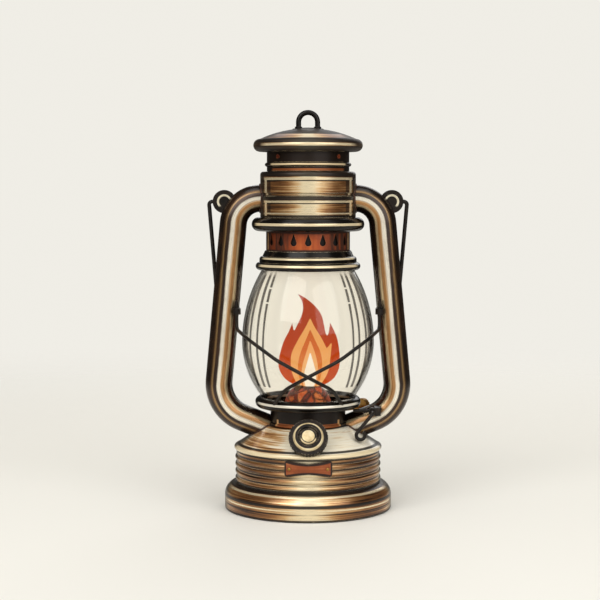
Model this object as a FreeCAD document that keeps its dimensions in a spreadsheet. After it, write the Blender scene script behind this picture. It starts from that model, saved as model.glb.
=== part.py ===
"""Camping lantern: a tubular wick lantern with two air tubes, a glass globe and a sliding hood.

Frame: millimetres, +Z up, origin at the centre of the base on the surface it stands on.
The front, with the filler cap, faces -Y, and the air tubes stand to the left and right, along X.
"""

import FreeCAD, Part
import math
import os
import types

import Sketcher

Vector = FreeCAD.Vector
UP = Vector(0, 0, 1)

# Driving dimensions, in millimetres, degrees and counts.
SIZES = {
    # Sheet metal, clearances and seats
    "sheet_wall": 1.0,
    "seat_gap": 0.1,
    "rest_gap": 0.3,
    "slide_gap": 0.4,
    "running_gap": 0.05,
    # Foot ring
    "foot_radius": 71.0,
    "foot_height": 22.0,
    "foot_lip_height": 11.0,
    "foot_hem_width": 3.6,
    "foot_hem_height": 2.4,
    "foot_edge_radius": 0.8,
    "foot_sweep_radius": 10.5,
    # Fuel tank
    "tank_radius": 61.0,
    "tank_side_height": 30.0,
    "tank_floor_height": 5.0,
    "tank_rib_height": 1.1,
    "tank_rib_width": 3.6,
    "tank_rib_pitch": 6.0,
    "tank_rib_start": 3.6,
    "tank_rib_count": 4,
    # Shoulder over the tank, where the air tubes end
    "shoulder_rise": 18.5,
    "shoulder_top_radius": 36.0,
    "seam_bead_radius": 1.9,
    # Drum round the burner
    "drum_radius": 32.0,
    "drum_height": 15.0,
    "drum_bead_radius": 1.5,
    # Globe plate
    "plate_radius": 45.0,
    "plate_rim_height": 9.0,
    "plate_bore_radius": 21.5,
    "plate_vent_radius": 1.6,
    "plate_vent_circle": 30.5,
    "plate_vent_count": 24,
    # Glass globe
    "globe_height": 120.0,
    "globe_bulge_radius": 56.0,
    "globe_bulge_height": 55.0,
    "globe_foot_radius": 40.0,
    "globe_top_radius": 39.6,
    "globe_lip_height": 5.0,
    "glass_wall": 2.2,
    # Collar that holds the top of the globe, and the gallery over it
    "collar_radius": 44.4,
    "collar_height": 16.2,
    "collar_grip": 4.5,
    "collar_rim_roll": 3.2,
    "collar_step_radius": 2.56,
    "gallery_radius": 35.5,
    "gallery_height": 28.5,
    "gallery_hole_count": 18,
    "gallery_hole_radius": 2.7,
    "gallery_hole_length": 7.8,
    "gallery_hole_lift": 7.3,
    # Chimney, hood neck and hood cap, which slide up together
    "chimney_radius": 33.4,
    "neck_radius": 34.8,
    "neck_height": 16.4,
    "neck_bead_radius": 1.7,
    "neck_bead_lift": 5.6,
    "cap_radius": 46.2,
    "cap_rim_height": 10.6,
    "cap_dome_rise": 9.0,
    "loop_bend_radius": 8.0,
    "loop_wire_radius": 2.2,
    "loop_rise": 5.4,
    # Air canister round the chimney
    "canister_radius": 40.4,
    "canister_height": 38.4,
    "canister_edge_radius": 2.6,
    "canister_groove_width": 3.0,
    "canister_groove_depth": 1.3,
    "flange_radius": 47.7,
    "flange_height": 11.6,
    "lift_room": 16.6,
    # Air tubes
    "tube_radius": 11.5,
    "tube_top_reach": 61.3,
    "tube_low_reach": 77.9,
    "tube_top_drop": 22.4,
    "tube_low_rise": 14.5,
    "tube_top_bend": 23.0,
    "tube_low_bend": 31.0,
    "tube_foot_slope": 22.0,
    # Filler on the front of the shoulder
    "filler_rise_angle": 32.0,
    "filler_neck_radius": 10.5,
    "filler_neck_stand": 10.0,
    "filler_neck_depth": 12.0,
    "filler_cap_radius": 16.2,
    "filler_cap_rim": 4.4,
    "filler_cap_skirt": 3.4,
    "filler_cap_crown_radius": 11.4,
    "filler_cap_crown_height": 1.8,
    "filler_boss_radius": 6.6,
    "filler_boss_height": 3.0,
    "filler_grip_count": 36,
    "filler_grip_radius": 0.8,
    "gasket_thickness": 1.4,
    "gasket_width": 2.2,
    # Burner, wick and winder, turned about the axis so that the spindle clears the right tube
    "burner_turn": 40.0,
    "burner_thread_radius": 15.0,
    "burner_thread_depth": 8.0,
    "burner_thread_wall": 1.8,
    "burner_land_radius": 20.0,
    "burner_land_height": 1.4,
    "drum_ledge": 4.0,
    "deck_vent_radius": 1.5,
    "deck_vent_circle": 24.0,
    "deck_vent_count": 20,
    "dome_radius": 20.0,
    "dome_height": 22.0,
    "dome_skirt": 3.5,
    "dome_slot_length": 27.0,
    "dome_slot_width": 8.0,
    "wick_width": 22.0,
    "wick_thickness": 3.0,
    "wick_gap": 0.35,
    "wick_show": 3.0,
    "wick_foot_height": 20.0,
    "wick_rise": 5.0,
    "wick_tube_wall": 0.8,
    "wick_tube_tail": 14.0,
    "wick_tube_sink": 1.5,
    "lug_thickness": 1.2,
    "lug_height": 7.0,
    "window_height": 7.0,
    "spindle_radius": 1.5,
    "spindle_lift": 7.6,
    "spindle_reach": 71.0,
    "bush_wall": 1.5,
    "bush_flange": 1.4,
    "bush_stand": 2.0,
    "star_radius": 4.4,
    "star_notch_radius": 0.7,
    "star_teeth": 10,
    "star_width": 2.4,
    "star_pitch": 7.0,
    "star_count": 3,
    "thumb_radius": 8.0,
    "thumb_width": 4.0,
    "thumb_notch_radius": 0.6,
    "thumb_notches": 24,
    # Flame over the wick, a solid that stands in for burning gas
    "flame_sink": 3.0,
    "flame_height": 79.0,
    "flame_half_width": 26.0,
    "flame_flatness": 0.5,
    # Bail and its ears
    "ear_radius": 9.8,
    "ear_stand": 2.0,
    "ear_angle": 33.6,
    "ear_thickness": 7.0,
    "ear_dish_radius": 5.6,
    "ear_dish_depth": 1.1,
    "bail_wire_radius": 1.75,
    "bail_bend": 3.0,
    "bail_length": 231.0,
    "bail_bow_radius": 74.0,
    "bail_stand": 0.6,
    # Crossed guard wires and the eyes that guide them
    "guard_wire_radius": 1.5,
    "guard_eye_radius": 3.5,
    "guard_eye_length": 5.0,
    "guard_eye_height": 168.0,
    "guard_eye_angle": 30.0,
    "guard_eye_stand": 6.0,
    "guard_eye_foot_width": 4.9,
    "guard_tail_above": 9.0,
    "guard_tail_below": 15.0,
    "guard_tail_bend": 5.0,
    "guard_bend": 25.0,
    "guard_cross_height": 118.0,
    "guard_cross_stand": 5.4,
    "guard_cross_gap": 1.6,
    "guard_side_stand": 6.6,
    "guard_fall": 0.55,
    "guard_side_angle": 53.0,
    "guard_near_angle": 24.0,
    "guard_low_angle": 22.0,
    "guard_low_reach": 54.0,
    "guard_end_angle": 40.0,
    # Globe lever
    "lever_wire_radius": 1.5,
    "lever_arm": 16.0,
    "lever_tip_reach": 38.0,
    "lever_arm_stand": 1.2,
    "lever_shaft_length": 17.0,
    "lever_bend": 3.2,
    "lever_handle_drop": 16.0,
    "lever_handle_inset": 13.0,
    "lever_curl_radius": 3.6,
    "lever_boss_radius": 3.4,
    "lever_boss_length": 4.0,
    "lever_foot_width": 5.0,
    # Hood spring, inside the canister
    "spring_seat_radius": 37.4,
    "spring_seat_height": 1.5,
    "spring_radius": 35.7,
    "spring_wire_radius": 0.8,
    "spring_turns": 5,
    # Vents under the hood cap and the rivets of the hood neck
    "cap_vent_radius": 1.7,
    "cap_vent_circle": 38.2,
    "cap_vent_count": 24,
    "rivet_radius": 1.7,
    "rivet_height": 1.1,
    "rivet_drop": 4.4,
    "rivet_count": 4,
    # Plain plate on the front of the tank
    "front_plate_width": 39.0,
    "front_plate_height": 13.0,
    "front_plate_waist": 7.6,
    "front_plate_centre": 42.6,
    "front_plate_edge": 2.2,
}


class Size:
    """A size as a number and as the sheet formula that gives it."""

    def __init__(self, number, formula):
        self.number = float(number)
        self.formula = formula

    def _join(self, other, sign, number):
        return Size(number, f"({self.formula} {sign} {as_size(other).formula})")

    def __add__(self, other):
        return self._join(other, "+", self.number + float(other))

    def __radd__(self, other):
        return as_size(other) + self

    def __sub__(self, other):
        return self._join(other, "-", self.number - float(other))

    def __rsub__(self, other):
        return as_size(other) - self

    def __mul__(self, other):
        return self._join(other, "*", self.number * float(other))

    def __rmul__(self, other):
        return as_size(other) * self

    def __truediv__(self, other):
        return self._join(other, "/", self.number / float(other))

    def __float__(self):
        return self.number


def as_size(value):
    """A plain number as a Size."""
    return value if isinstance(value, Size) else Size(value, repr(float(value)))


def sine(angle):
    """The sine of an angle in degrees."""
    return Size(math.sin(math.radians(float(angle))), f"sin({as_size(angle).formula} * 1 deg)")


def cosine(angle):
    """The cosine of an angle in degrees."""
    return Size(math.cos(math.radians(float(angle))), f"cos({as_size(angle).formula} * 1 deg)")


def tangent(angle):
    """The tangent of an angle in degrees."""
    return Size(math.tan(math.radians(float(angle))), f"tan({as_size(angle).formula} * 1 deg)")


def arc_tangent(ratio):
    """The angle in degrees whose tangent is a ratio."""
    return Size(math.degrees(math.atan(float(ratio))), f"(atan({as_size(ratio).formula}) / 1 deg)")


def root(square):
    """The square root of a size."""
    return Size(math.sqrt(float(square)), f"sqrt({as_size(square).formula})")


def bow_radius(half_chord, rise):
    """The radius of the arc that rises by that much over half its chord."""
    return (half_chord * half_chord + rise * rise) / (rise * 2)


doc = FreeCAD.newDocument("camping_lantern")
sheet = doc.addObject("Spreadsheet::Sheet", "sizes")
for row, (size_name, number) in enumerate(SIZES.items(), start=1):
    sheet.set(f"A{row}", size_name)
    sheet.set(f"B{row}", str(number))
    sheet.setAlias(f"B{row}", size_name)
doc.recompute()

s = types.SimpleNamespace(**{name: Size(sheet.get(name), f"sizes.{name}") for name in SIZES})

# Heights, stacked from the floor up.
tank_top = s.foot_height + s.tank_side_height
shoulder_top = tank_top + s.shoulder_rise
drum_top = shoulder_top + s.drum_height
plate_floor = drum_top + s.rest_gap
globe_foot = plate_floor + s.sheet_wall + s.seat_gap
globe_top = globe_foot + s.globe_height
collar_seat = globe_top + s.rest_gap
collar_foot = collar_seat - s.collar_grip
collar_top = collar_foot + s.collar_height
gallery_top = collar_top + s.seat_gap + s.gallery_height
flange_foot = collar_top + s.lift_room
canister_foot = flange_foot + s.flange_height
canister_top = canister_foot + s.canister_height
neck_foot = canister_top + s.rest_gap
neck_top = neck_foot + s.neck_height
cap_rim_top = neck_top + s.cap_rim_height
cap_top = cap_rim_top + s.cap_dome_rise
tube_axis_top = canister_top - s.tube_top_drop
tube_bend_height = shoulder_top + s.tube_low_rise
tube_bore = s.tube_radius - s.sheet_wall
tube_foot_end = tube_bend_height - (s.tube_low_reach - s.drum_radius / 2) * tangent(s.tube_foot_slope)

# The air tube's top bend, which the ears follow.
tube_lean = arc_tangent((s.tube_low_reach - s.tube_top_reach) / (tube_axis_top - tube_bend_height))
tube_bend_run = s.tube_top_bend * tangent((90 - tube_lean) / 2)
tube_bend_reach = s.tube_top_reach - tube_bend_run
ear_swing = s.tube_top_bend + s.tube_radius + s.ear_stand
ear_reach = tube_bend_reach + ear_swing * cosine(s.ear_angle)
ear_height = tube_axis_top - s.tube_top_bend + ear_swing * sine(s.ear_angle)
bail_end_reach = ear_reach + s.rest_gap

# The lean of the bail, which hangs behind the lantern with its bow against the tank's ribs.
bail_rest_reach = s.tank_radius + s.tank_rib_height + s.bail_wire_radius + s.bail_stand
bail_lean = arc_tangent(bail_rest_reach / root(s.bail_length * s.bail_length - bail_rest_reach * bail_rest_reach))

# The filler's axis leaves the middle of the shoulder's slope, towards the front and up.
filler_reach = (s.tank_radius + s.shoulder_top_radius) / 2
filler_height = (tank_top + s.seam_bead_radius + shoulder_top) / 2
filler_cap_foot = s.filler_neck_stand - s.filler_cap_skirt
filler_bore = s.filler_neck_radius - s.sheet_wall
filler_ceiling = s.filler_neck_stand + s.gasket_thickness + s.seat_gap * 2

# The burner, and the winder's spindle a star wheel's radius behind the face of the wick.
deck_top = drum_top - s.sheet_wall - s.seat_gap
dome_foot = deck_top + s.seat_gap
dome_top = dome_foot + s.dome_height
wick_tube_top = dome_top - s.wick_tube_sink
wick_tube_foot = shoulder_top - s.wick_tube_tail
wick_slot_width = s.wick_width + s.wick_gap * 2
wick_slot_depth = s.wick_thickness + s.wick_gap * 2
wick_tube_width = wick_slot_width + s.wick_tube_wall * 2
wick_tube_depth = wick_slot_depth + s.wick_tube_wall * 2
spindle_height = shoulder_top + s.spindle_lift
spindle_offset = s.wick_thickness / 2 + s.wick_gap + s.star_radius
spindle_bore = s.spindle_radius + s.running_gap
bush_radius = spindle_bore + s.bush_wall

# The flame's foot, round the crown of the dome, and the room in it for the wick at its highest.
flame_foot = dome_top - s.flame_sink
flame_room_top = dome_top + s.wick_show + s.wick_rise + s.wick_gap

# How far the legs of the lift loop reach down through the dome.
loop_root = s.loop_wire_radius * 3

# The spring and its seat on the chimney.
spring_seat_foot = gallery_top + s.seat_gap
spring_foot = spring_seat_foot + s.spring_seat_height + s.seat_gap + s.spring_wire_radius
spring_top = canister_top - s.sheet_wall - s.seat_gap - s.spring_wire_radius

# The eyes on the tubes in which the guard wires slide, and where the wires cross.
guard_eye_axis = s.tube_top_reach + (tube_axis_top - s.guard_eye_height) * tangent(tube_lean)
guard_eye_across = guard_eye_axis - s.tube_radius * cosine(s.guard_eye_angle)
guard_eye_front = s.tube_radius * sine(s.guard_eye_angle) + s.guard_eye_stand
guard_cross_reach = s.globe_bulge_radius + s.guard_cross_stand

# The globe lever's pivot, level with the tip of its arm under the globe plate.
lever_height = plate_floor - s.rest_gap - s.lever_wire_radius
lever_reach = s.lever_tip_reach + s.lever_arm
lever_back = s.tube_radius + s.lever_arm_stand + s.lever_wire_radius

# The tongues of the flame, each a row of slices: its height as a share of the flame's height, then
# its middle and half width as shares of the flame's half width.
FLAME_TONGUES = {
    "middle": [
        (0.0, 0.04, 0.385), (0.045, 0.046, 0.654), (0.108, 0.04, 0.865), (0.209, 0.03, 1.0),
        (0.322, 0.054, 0.977), (0.436, 0.054, 0.808), (0.55, 0.046, 0.56), (0.651, 0.085, 0.446),
        (0.752, 0.115, 0.338), (0.841, 0.06, 0.223), (0.929, -0.115, 0.112), (1.0, -0.346, 0.02),
    ],
    "left": [
        (0.183, -0.654, 0.288), (0.284, -0.66, 0.292), (0.386, -0.646, 0.246), (0.487, -0.608, 0.18),
        (0.588, -0.546, 0.09), (0.676, -0.5, 0.02),
    ],
    "right": [
        (0.183, 0.69, 0.308), (0.284, 0.746, 0.3), (0.398, 0.785, 0.238), (0.512, 0.792, 0.17),
        (0.6, 0.77, 0.085), (0.683, 0.73, 0.02),
    ],
}

# Ways that the Z axis is turned for holes and turned pieces.
ALONG_X = FreeCAD.Rotation(Vector(0, 1, 0), 90)
AGAINST_X = FreeCAD.Rotation(Vector(0, 1, 0), -90)
ALONG_Y = FreeCAD.Rotation(Vector(1, 0, 0), -90)
FILLER_WAY = FreeCAD.Rotation(Vector(1, 0, 0), 90 - float(s.filler_rise_angle))
TUBE_FOOT_WAY = FreeCAD.Rotation(Vector(0, 1, 0), 90 - float(s.tube_foot_slope))
BURNER_WAY = FreeCAD.Rotation(UP, float(s.burner_turn))
SPINDLE_WAY = BURNER_WAY * ALONG_X


def filler_spot(along):
    """The place that far along the filler's axis, from the face of the shoulder outwards."""
    rise = s.filler_rise_angle
    return 0, (filler_reach + along * cosine(rise)) * -1, filler_height + along * sine(rise)


def burner_spot(along, behind, height):
    """The place that far along the spindle and behind the wick, at a height."""
    turn = s.burner_turn
    return along * cosine(turn) - behind * sine(turn), along * sine(turn) + behind * cosine(turn), height


def origin_part(body, role):
    """One of a body's own origin planes or axes, by its role."""
    return next(feature for feature in body.Origin.OriginFeatures if feature.Role == role)


def new_body(label):
    """An empty body that becomes the sub-part of that name."""
    body = doc.addObject("PartDesign::Body", label)
    body.Label = label
    return body


def new_sketch(body, name, role="XZ_Plane"):
    """A sketch on one of the body's origin planes."""
    sketch = body.newObject("Sketcher::SketchObject", name)
    sketch.AttachmentSupport = [(origin_part(body, role), "")]
    sketch.MapMode = "FlatFace"
    return sketch


def arc_between(start, end, radius, left):
    """The shorter arc from start to end, bulging to the left or right of the way it goes."""
    chord = end - start
    half = chord.Length / 2
    across = Vector(chord.y, -chord.x, 0).normalize()
    if left:
        across = across * -1
    sink = math.sqrt(max(radius**2 - half**2, 0.0))
    middle = (start + end) * 0.5 + across * (radius - sink)
    return Part.Arc(start, middle, end)


def end_at(sketch, edge, place):
    """The number, 1 or 2, of the end of an edge that lies at a place."""
    gaps = [(sketch.getPoint(edge, end) - place).Length for end in (1, 2)]
    return 1 if gaps[0] < gaps[1] else 2


def pin_point(sketch, edge, end, across, up):
    """Fixes one end of an edge at two sizes from the sketch's origin."""
    for kind, size, axis in (("DistanceX", across, -2), ("DistanceY", up, -1)):
        size = as_size(size)
        if size.number == 0:
            sketch.addConstraint(Sketcher.Constraint("PointOnObject", edge, end, axis))
        elif size.number > 0:
            index = sketch.addConstraint(Sketcher.Constraint(kind, -1, 1, edge, end, size.number))
            sketch.setExpression(f"Constraints[{index}]", size.formula)
        else:
            index = sketch.addConstraint(Sketcher.Constraint(kind, edge, end, -1, 1, -size.number))
            sketch.setExpression(f"Constraints[{index}]", f"-{size.formula}")


def draw_outline(sketch, outline, closed=True):
    """Draws an outline of points (across, up), where (across, up, radius, side) ends an arc that
    bulges to that side, "left" or "right", of the way the outline goes."""
    points = [Vector(float(point[0]), float(point[1]), 0) for point in outline]
    count = len(outline)
    steps = range(count) if closed else range(1, count)
    edges = []
    for step in steps:
        start, end = points[step - 1], points[step]
        if len(outline[step]) == 2:
            edge = sketch.addGeometry(Part.LineSegment(start, end), False)
        else:
            radius, side = outline[step][2:]
            edge = sketch.addGeometry(arc_between(start, end, float(radius), side == "left"), False)
            index = sketch.addConstraint(Sketcher.Constraint("Radius", edge, float(radius)))
            sketch.setExpression(f"Constraints[{index}]", as_size(radius).formula)
        first = end_at(sketch, edge, start)
        edges.append((edge, first, 3 - first))
    pairs = range(len(edges)) if closed else range(1, len(edges))
    for index in pairs:
        before, after = edges[index - 1], edges[index]
        sketch.addConstraint(Sketcher.Constraint("Coincident", before[0], before[2], after[0], after[1]))
    for index, (edge, first, last) in enumerate(edges):
        point = outline[list(steps)[index] - 1]
        pin_point(sketch, edge, first, point[0], point[1])
    if not closed:
        edge, first, last = edges[-1]
        pin_point(sketch, edge, last, outline[-1][0], outline[-1][1])


def revolve(body, outline, name="turned"):
    """Turns an outline of (radius, height) points about the body's Z axis."""
    sketch = new_sketch(body, f"{body.Name}_{name}_outline")
    draw_outline(sketch, outline)
    turn = body.newObject("PartDesign::Revolution", f"{body.Name}_{name}")
    turn.Profile = sketch
    turn.ReferenceAxis = (sketch, ["V_Axis"])
    turn.Angle = 360
    return turn


def turned_part(label, outline):
    """A sub-part that is one turned outline."""
    body = new_body(label)
    revolve(body, outline)
    return body


def draw_circle(sketch, across, up, radius):
    """Draws a circle whose centre and radius are sizes."""
    centre = Vector(float(across), float(up), 0)
    circle = sketch.addGeometry(Part.Circle(centre, UP, float(radius)), False)
    pin_point(sketch, circle, 3, across, up)
    index = sketch.addConstraint(Sketcher.Constraint("Radius", circle, float(radius)))
    sketch.setExpression(f"Constraints[{index}]", as_size(radius).formula)


def bent_runs(corners, radii):
    """The straight runs between corners that are rounded by those radii, as (start, end) pairs."""
    starts, ends = [corners[0]], []
    for index, radius in enumerate(radii, start=1):
        back = (corners[index - 1] - corners[index]).normalize()
        ahead = (corners[index + 1] - corners[index]).normalize()
        reach = radius / math.tan(back.getAngle(ahead) / 2)
        ends.append(corners[index] + back * reach)
        starts.append(corners[index] + ahead * reach)
    ends.append(corners[-1])
    return list(zip(starts, ends))


def bend_arc(start, corner, end, radius):
    """The arc from start to end that rounds a corner."""
    middle_way = ((start - corner).normalize() + (end - corner).normalize()).normalize()
    opening = (start - corner).getAngle(end - corner) / 2
    centre = corner + middle_way * (radius / math.sin(opening))
    return Part.Arc(start, centre - middle_way * radius, end)


def draw_bent_path(sketch, corners, radii):
    """Draws an open path of straight runs through its corners, rounded by tangent arcs."""
    places = [Vector(float(across), float(up), 0) for across, up in corners]
    runs = bent_runs(places, [float(radius) for radius in radii])
    lines = [sketch.addGeometry(Part.LineSegment(start, end), False) for start, end in runs]
    pin_point(sketch, lines[0], 1, *corners[0])
    pin_point(sketch, lines[-1], 2, *corners[-1])
    for index, radius in enumerate(radii):
        before, after = lines[index], lines[index + 1]
        start, end = runs[index][1], runs[index + 1][0]
        corner = sketch.addGeometry(Part.Point(places[index + 1]), True)
        pin_point(sketch, corner, 1, *corners[index + 1])
        for line in (before, after):
            sketch.addConstraint(Sketcher.Constraint("PointOnObject", corner, 1, line))
        arc = sketch.addGeometry(bend_arc(start, places[index + 1], end, float(radius)), False)
        first = end_at(sketch, arc, start)
        sketch.addConstraint(Sketcher.Constraint("Tangent", before, 2, arc, first))
        sketch.addConstraint(Sketcher.Constraint("Tangent", arc, 3 - first, after, 1))
        limit = sketch.addConstraint(Sketcher.Constraint("Radius", arc, float(radius)))
        sketch.setExpression(f"Constraints[{limit}]", as_size(radius).formula)


def pipe(kind, body, section, path):
    """Adds or cuts, by its kind, a section swept along a path in the same body."""
    swept = body.newObject(f"PartDesign::{kind}Pipe", f"{section.Name}_pipe")
    swept.Profile = section
    swept.Spine = (path, [f"Edge{index + 1}" for index in range(path.Shape.countElement("Edge"))])
    return swept


def cut_turned(body, name, outline):
    """Cuts a turned outline out of a body."""
    sketch = new_sketch(body, f"{body.Name}_{name}_outline")
    draw_outline(sketch, outline)
    groove = body.newObject("PartDesign::Groove", f"{body.Name}_{name}")
    groove.Profile = sketch
    groove.ReferenceAxis = (sketch, ["V_Axis"])
    groove.Angle = 360
    return groove


def bore(body, name, place, turn, radius, length):
    """Cuts a round hole that starts at a place and runs along the Z axis as turned by a rotation."""
    hole = body.newObject("PartDesign::SubtractiveCylinder", f"{body.Name}_{name}")
    hole.setExpression("Radius", as_size(radius).formula)
    hole.setExpression("Height", as_size(length).formula)
    set_place(hole, place, turn)
    return hole


def set_place(thing, place, turn):
    """Turns a feature or body and binds its position to sizes."""
    thing.Placement = FreeCAD.Placement(Vector(*(float(size) for size in place)), turn)
    for letter, size in zip("xyz", place):
        thing.setExpression(f"Placement.Base.{letter}", as_size(size).formula)


def pad(body, sketch, length, middle=False, back=False):
    """Raises a sketch into a solid, from one side or to both."""
    raised = body.newObject("PartDesign::Pad", f"{sketch.Name}_pad")
    raised.Profile = sketch
    raised.Midplane = middle
    raised.Reversed = back
    raised.setExpression("Length", as_size(length).formula)
    return raised


def pocket(body, sketch, length=None, middle=False, back=False):
    """Cuts a sketch out of a body, through all of it where no length is given."""
    cut = body.newObject("PartDesign::Pocket", f"{sketch.Name}_cut")
    cut.Profile = sketch
    cut.Midplane = middle
    cut.Reversed = back
    if length is None:
        cut.Type = "ThroughAll"
    else:
        cut.setExpression("Length", as_size(length).formula)
    return cut


def repeat_round(body, feature, count):
    """Repeats a feature evenly about the body's Z axis."""
    ring = body.newObject("PartDesign::PolarPattern", f"{feature.Name}_ring")
    ring.Originals = [feature]
    ring.Axis = (origin_part(body, "Z_Axis"), [""])
    ring.Angle = 360
    ring.setExpression("Occurrences", count.formula)
    body.Tip = ring
    return ring


def raise_plane(sketch, height):
    """Moves a sketch off its plane, along the plane's normal."""
    sketch.setExpression("AttachmentOffset.Base.z", as_size(height).formula)


def draw_box(sketch, across, up, middle_across=0, middle_up=0):
    """Draws an upright rectangle about its middle."""
    left, right = middle_across - across / 2, middle_across + across / 2
    low, high = middle_up - up / 2, middle_up + up / 2
    draw_outline(sketch, [(left, low), (right, low), (right, high), (left, high)])


def make_foot_ring():
    """The flared skirt that the lantern stands on, with a flat hem."""
    inner = s.tank_radius + s.seat_gap
    land = inner + s.sheet_wall
    edge, sweep = s.foot_edge_radius, s.foot_sweep_radius
    skirt = s.foot_radius - s.sheet_wall
    return turned_part("foot_ring", [
        (inner, s.foot_height),
        (inner, s.foot_height - s.sheet_wall),
        (land, s.foot_height - s.sheet_wall),
        (skirt, s.foot_lip_height, sweep, "left"),
        (skirt, s.foot_hem_height),
        (s.foot_radius - s.foot_hem_width, s.foot_hem_height),
        (s.foot_radius - s.foot_hem_width, 0),
        (s.foot_radius - edge, 0),
        (s.foot_radius, edge, edge, "right"),
        (s.foot_radius, s.foot_lip_height),
        (land, s.foot_height, sweep, "right"),
    ])


def make_tank():
    """The fuel tank: a can with a row of round ribs pressed outwards."""
    inner = s.tank_radius - s.sheet_wall
    rim = tank_top - s.seam_bead_radius - s.seat_gap
    half = s.tank_rib_width / 2
    bow = bow_radius(half, s.tank_rib_height)
    outline = [
        (0, s.tank_floor_height),
        (s.tank_radius, s.tank_floor_height),
    ]
    for rib in range(int(s.tank_rib_count.number)):
        middle = s.foot_height + s.tank_rib_start + s.tank_rib_pitch * rib
        outline += [(s.tank_radius, middle - half), (s.tank_radius, middle + half, bow, "right")]
    outline += [
        (s.tank_radius, rim),
        (inner, rim),
        (inner, s.tank_floor_height + s.sheet_wall),
        (0, s.tank_floor_height + s.sheet_wall),
    ]
    return turned_part("tank", outline)


def make_shoulder():
    """The sloping top of the tank, with a round seam bead and a flat land for the burner."""
    inner = s.tank_radius - s.sheet_wall
    bead = s.seam_bead_radius
    body = turned_part("shoulder", [
        (s.burner_thread_radius + s.seat_gap, shoulder_top - s.sheet_wall),
        (s.shoulder_top_radius - s.sheet_wall / 2, shoulder_top - s.sheet_wall),
        (inner, tank_top),
        (inner, tank_top - bead),
        (s.tank_radius, tank_top - bead),
        (s.tank_radius + bead, tank_top, bead, "right"),
        (s.tank_radius, tank_top + bead, bead, "right"),
        (s.shoulder_top_radius, shoulder_top),
        (s.burner_thread_radius + s.seat_gap, shoulder_top),
    ])
    bore(body, "filler_hole", filler_spot(s.filler_neck_depth * -1), FILLER_WAY,
         s.filler_neck_radius + s.seat_gap, s.filler_neck_depth + s.filler_neck_stand)
    return body


def make_drum():
    """The drum between the tank and the globe plate, which the air tubes feed."""
    inner = s.drum_radius - s.sheet_wall
    foot = shoulder_top + s.seat_gap
    bead = s.drum_bead_radius
    body = turned_part("burner_drum", [
        (inner, foot),
        (s.drum_radius, foot),
        (s.drum_radius + bead, foot + bead, bead, "right"),
        (s.drum_radius, foot + bead * 2, bead, "right"),
        (s.drum_radius, drum_top),
        (inner - s.drum_ledge, drum_top),
        (inner - s.drum_ledge, drum_top - s.sheet_wall),
        (inner, drum_top - s.sheet_wall),
    ])
    inlet = bore(body, "air_inlet", (s.drum_radius / 2, 0, tube_foot_end), TUBE_FOOT_WAY, tube_bore,
                 s.tube_low_reach)
    repeat_round(body, inlet, as_size(2))
    bore(body, "spindle_hole", burner_spot(0, spindle_offset, spindle_height), SPINDLE_WAY,
         bush_radius + s.seat_gap, s.drum_radius * 2)
    return body


def make_canister():
    """The air canister: two bands with a groove between them, open below and bored for both tubes."""
    inner = s.canister_radius - s.sheet_wall
    foot = canister_foot + s.seat_gap
    middle = canister_foot + s.canister_height / 2
    half = s.canister_groove_width / 2
    depth = s.canister_groove_depth
    edge = s.canister_edge_radius
    body = turned_part("air_canister", [
        (s.canister_radius, foot),
        (s.canister_radius, middle - half),
        (s.canister_radius - depth, middle - half + depth / 2),
        (s.canister_radius - depth, middle + half - depth / 2),
        (s.canister_radius, middle + half),
        (s.canister_radius, canister_top - edge),
        (s.canister_radius - edge, canister_top, edge, "right"),
        (s.chimney_radius + s.slide_gap, canister_top),
        (s.chimney_radius + s.slide_gap, canister_top - s.sheet_wall),
        (inner - edge, canister_top - s.sheet_wall),
        (inner - depth, canister_top - s.sheet_wall - edge + depth),
        (inner - depth, foot + depth),
        (inner, foot),
    ])
    sketch = new_sketch(body, "air_canister_port", "YZ_Plane")
    draw_circle(sketch, 0, tube_axis_top, tube_bore)
    pocket(body, sketch, middle=True)
    return body


def make_flange():
    """The rolled ring under the canister, a channel open towards the gallery that slides in it."""
    bore_radius = s.gallery_radius + s.slide_gap
    roll = s.flange_height / 2
    inner_roll = roll - s.sheet_wall
    centre = s.flange_radius - roll
    middle = flange_foot + roll
    return turned_part("canister_flange", [
        (bore_radius, flange_foot),
        (centre, flange_foot),
        (s.flange_radius, middle, roll, "right"),
        (centre, canister_foot, roll, "right"),
        (bore_radius, canister_foot),
        (bore_radius, canister_foot - s.sheet_wall),
        (centre, canister_foot - s.sheet_wall),
        (centre + inner_roll, middle, inner_roll, "left"),
        (centre, flange_foot + s.sheet_wall, inner_roll, "left"),
        (bore_radius, flange_foot + s.sheet_wall),
    ])


def run_tube(kind, body, side, radii):
    """Adds or cuts a tube of those radii along the way of the air tube on one side, -1 or 1."""
    start = (s.canister_radius - s.tube_radius / 2) * side
    path = new_sketch(body, f"{body.Name}_tube_path")
    draw_bent_path(path, [
        (start, tube_axis_top),
        (s.tube_top_reach * side, tube_axis_top),
        (s.tube_low_reach * side, tube_bend_height),
        (s.drum_radius / 2 * side, tube_foot_end),
    ], [s.tube_top_bend, s.tube_low_bend])
    ring = new_sketch(body, f"{body.Name}_tube_section", "YZ_Plane")
    raise_plane(ring, start)
    for radius in radii:
        draw_circle(ring, 0, tube_axis_top, radius)
    return pipe(kind, body, ring, path)


def cut_for_tube(body, side):
    """Cuts the seat of an air tube out of a body."""
    return run_tube("Subtractive", body, side, [s.tube_radius + s.seat_gap])


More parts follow.
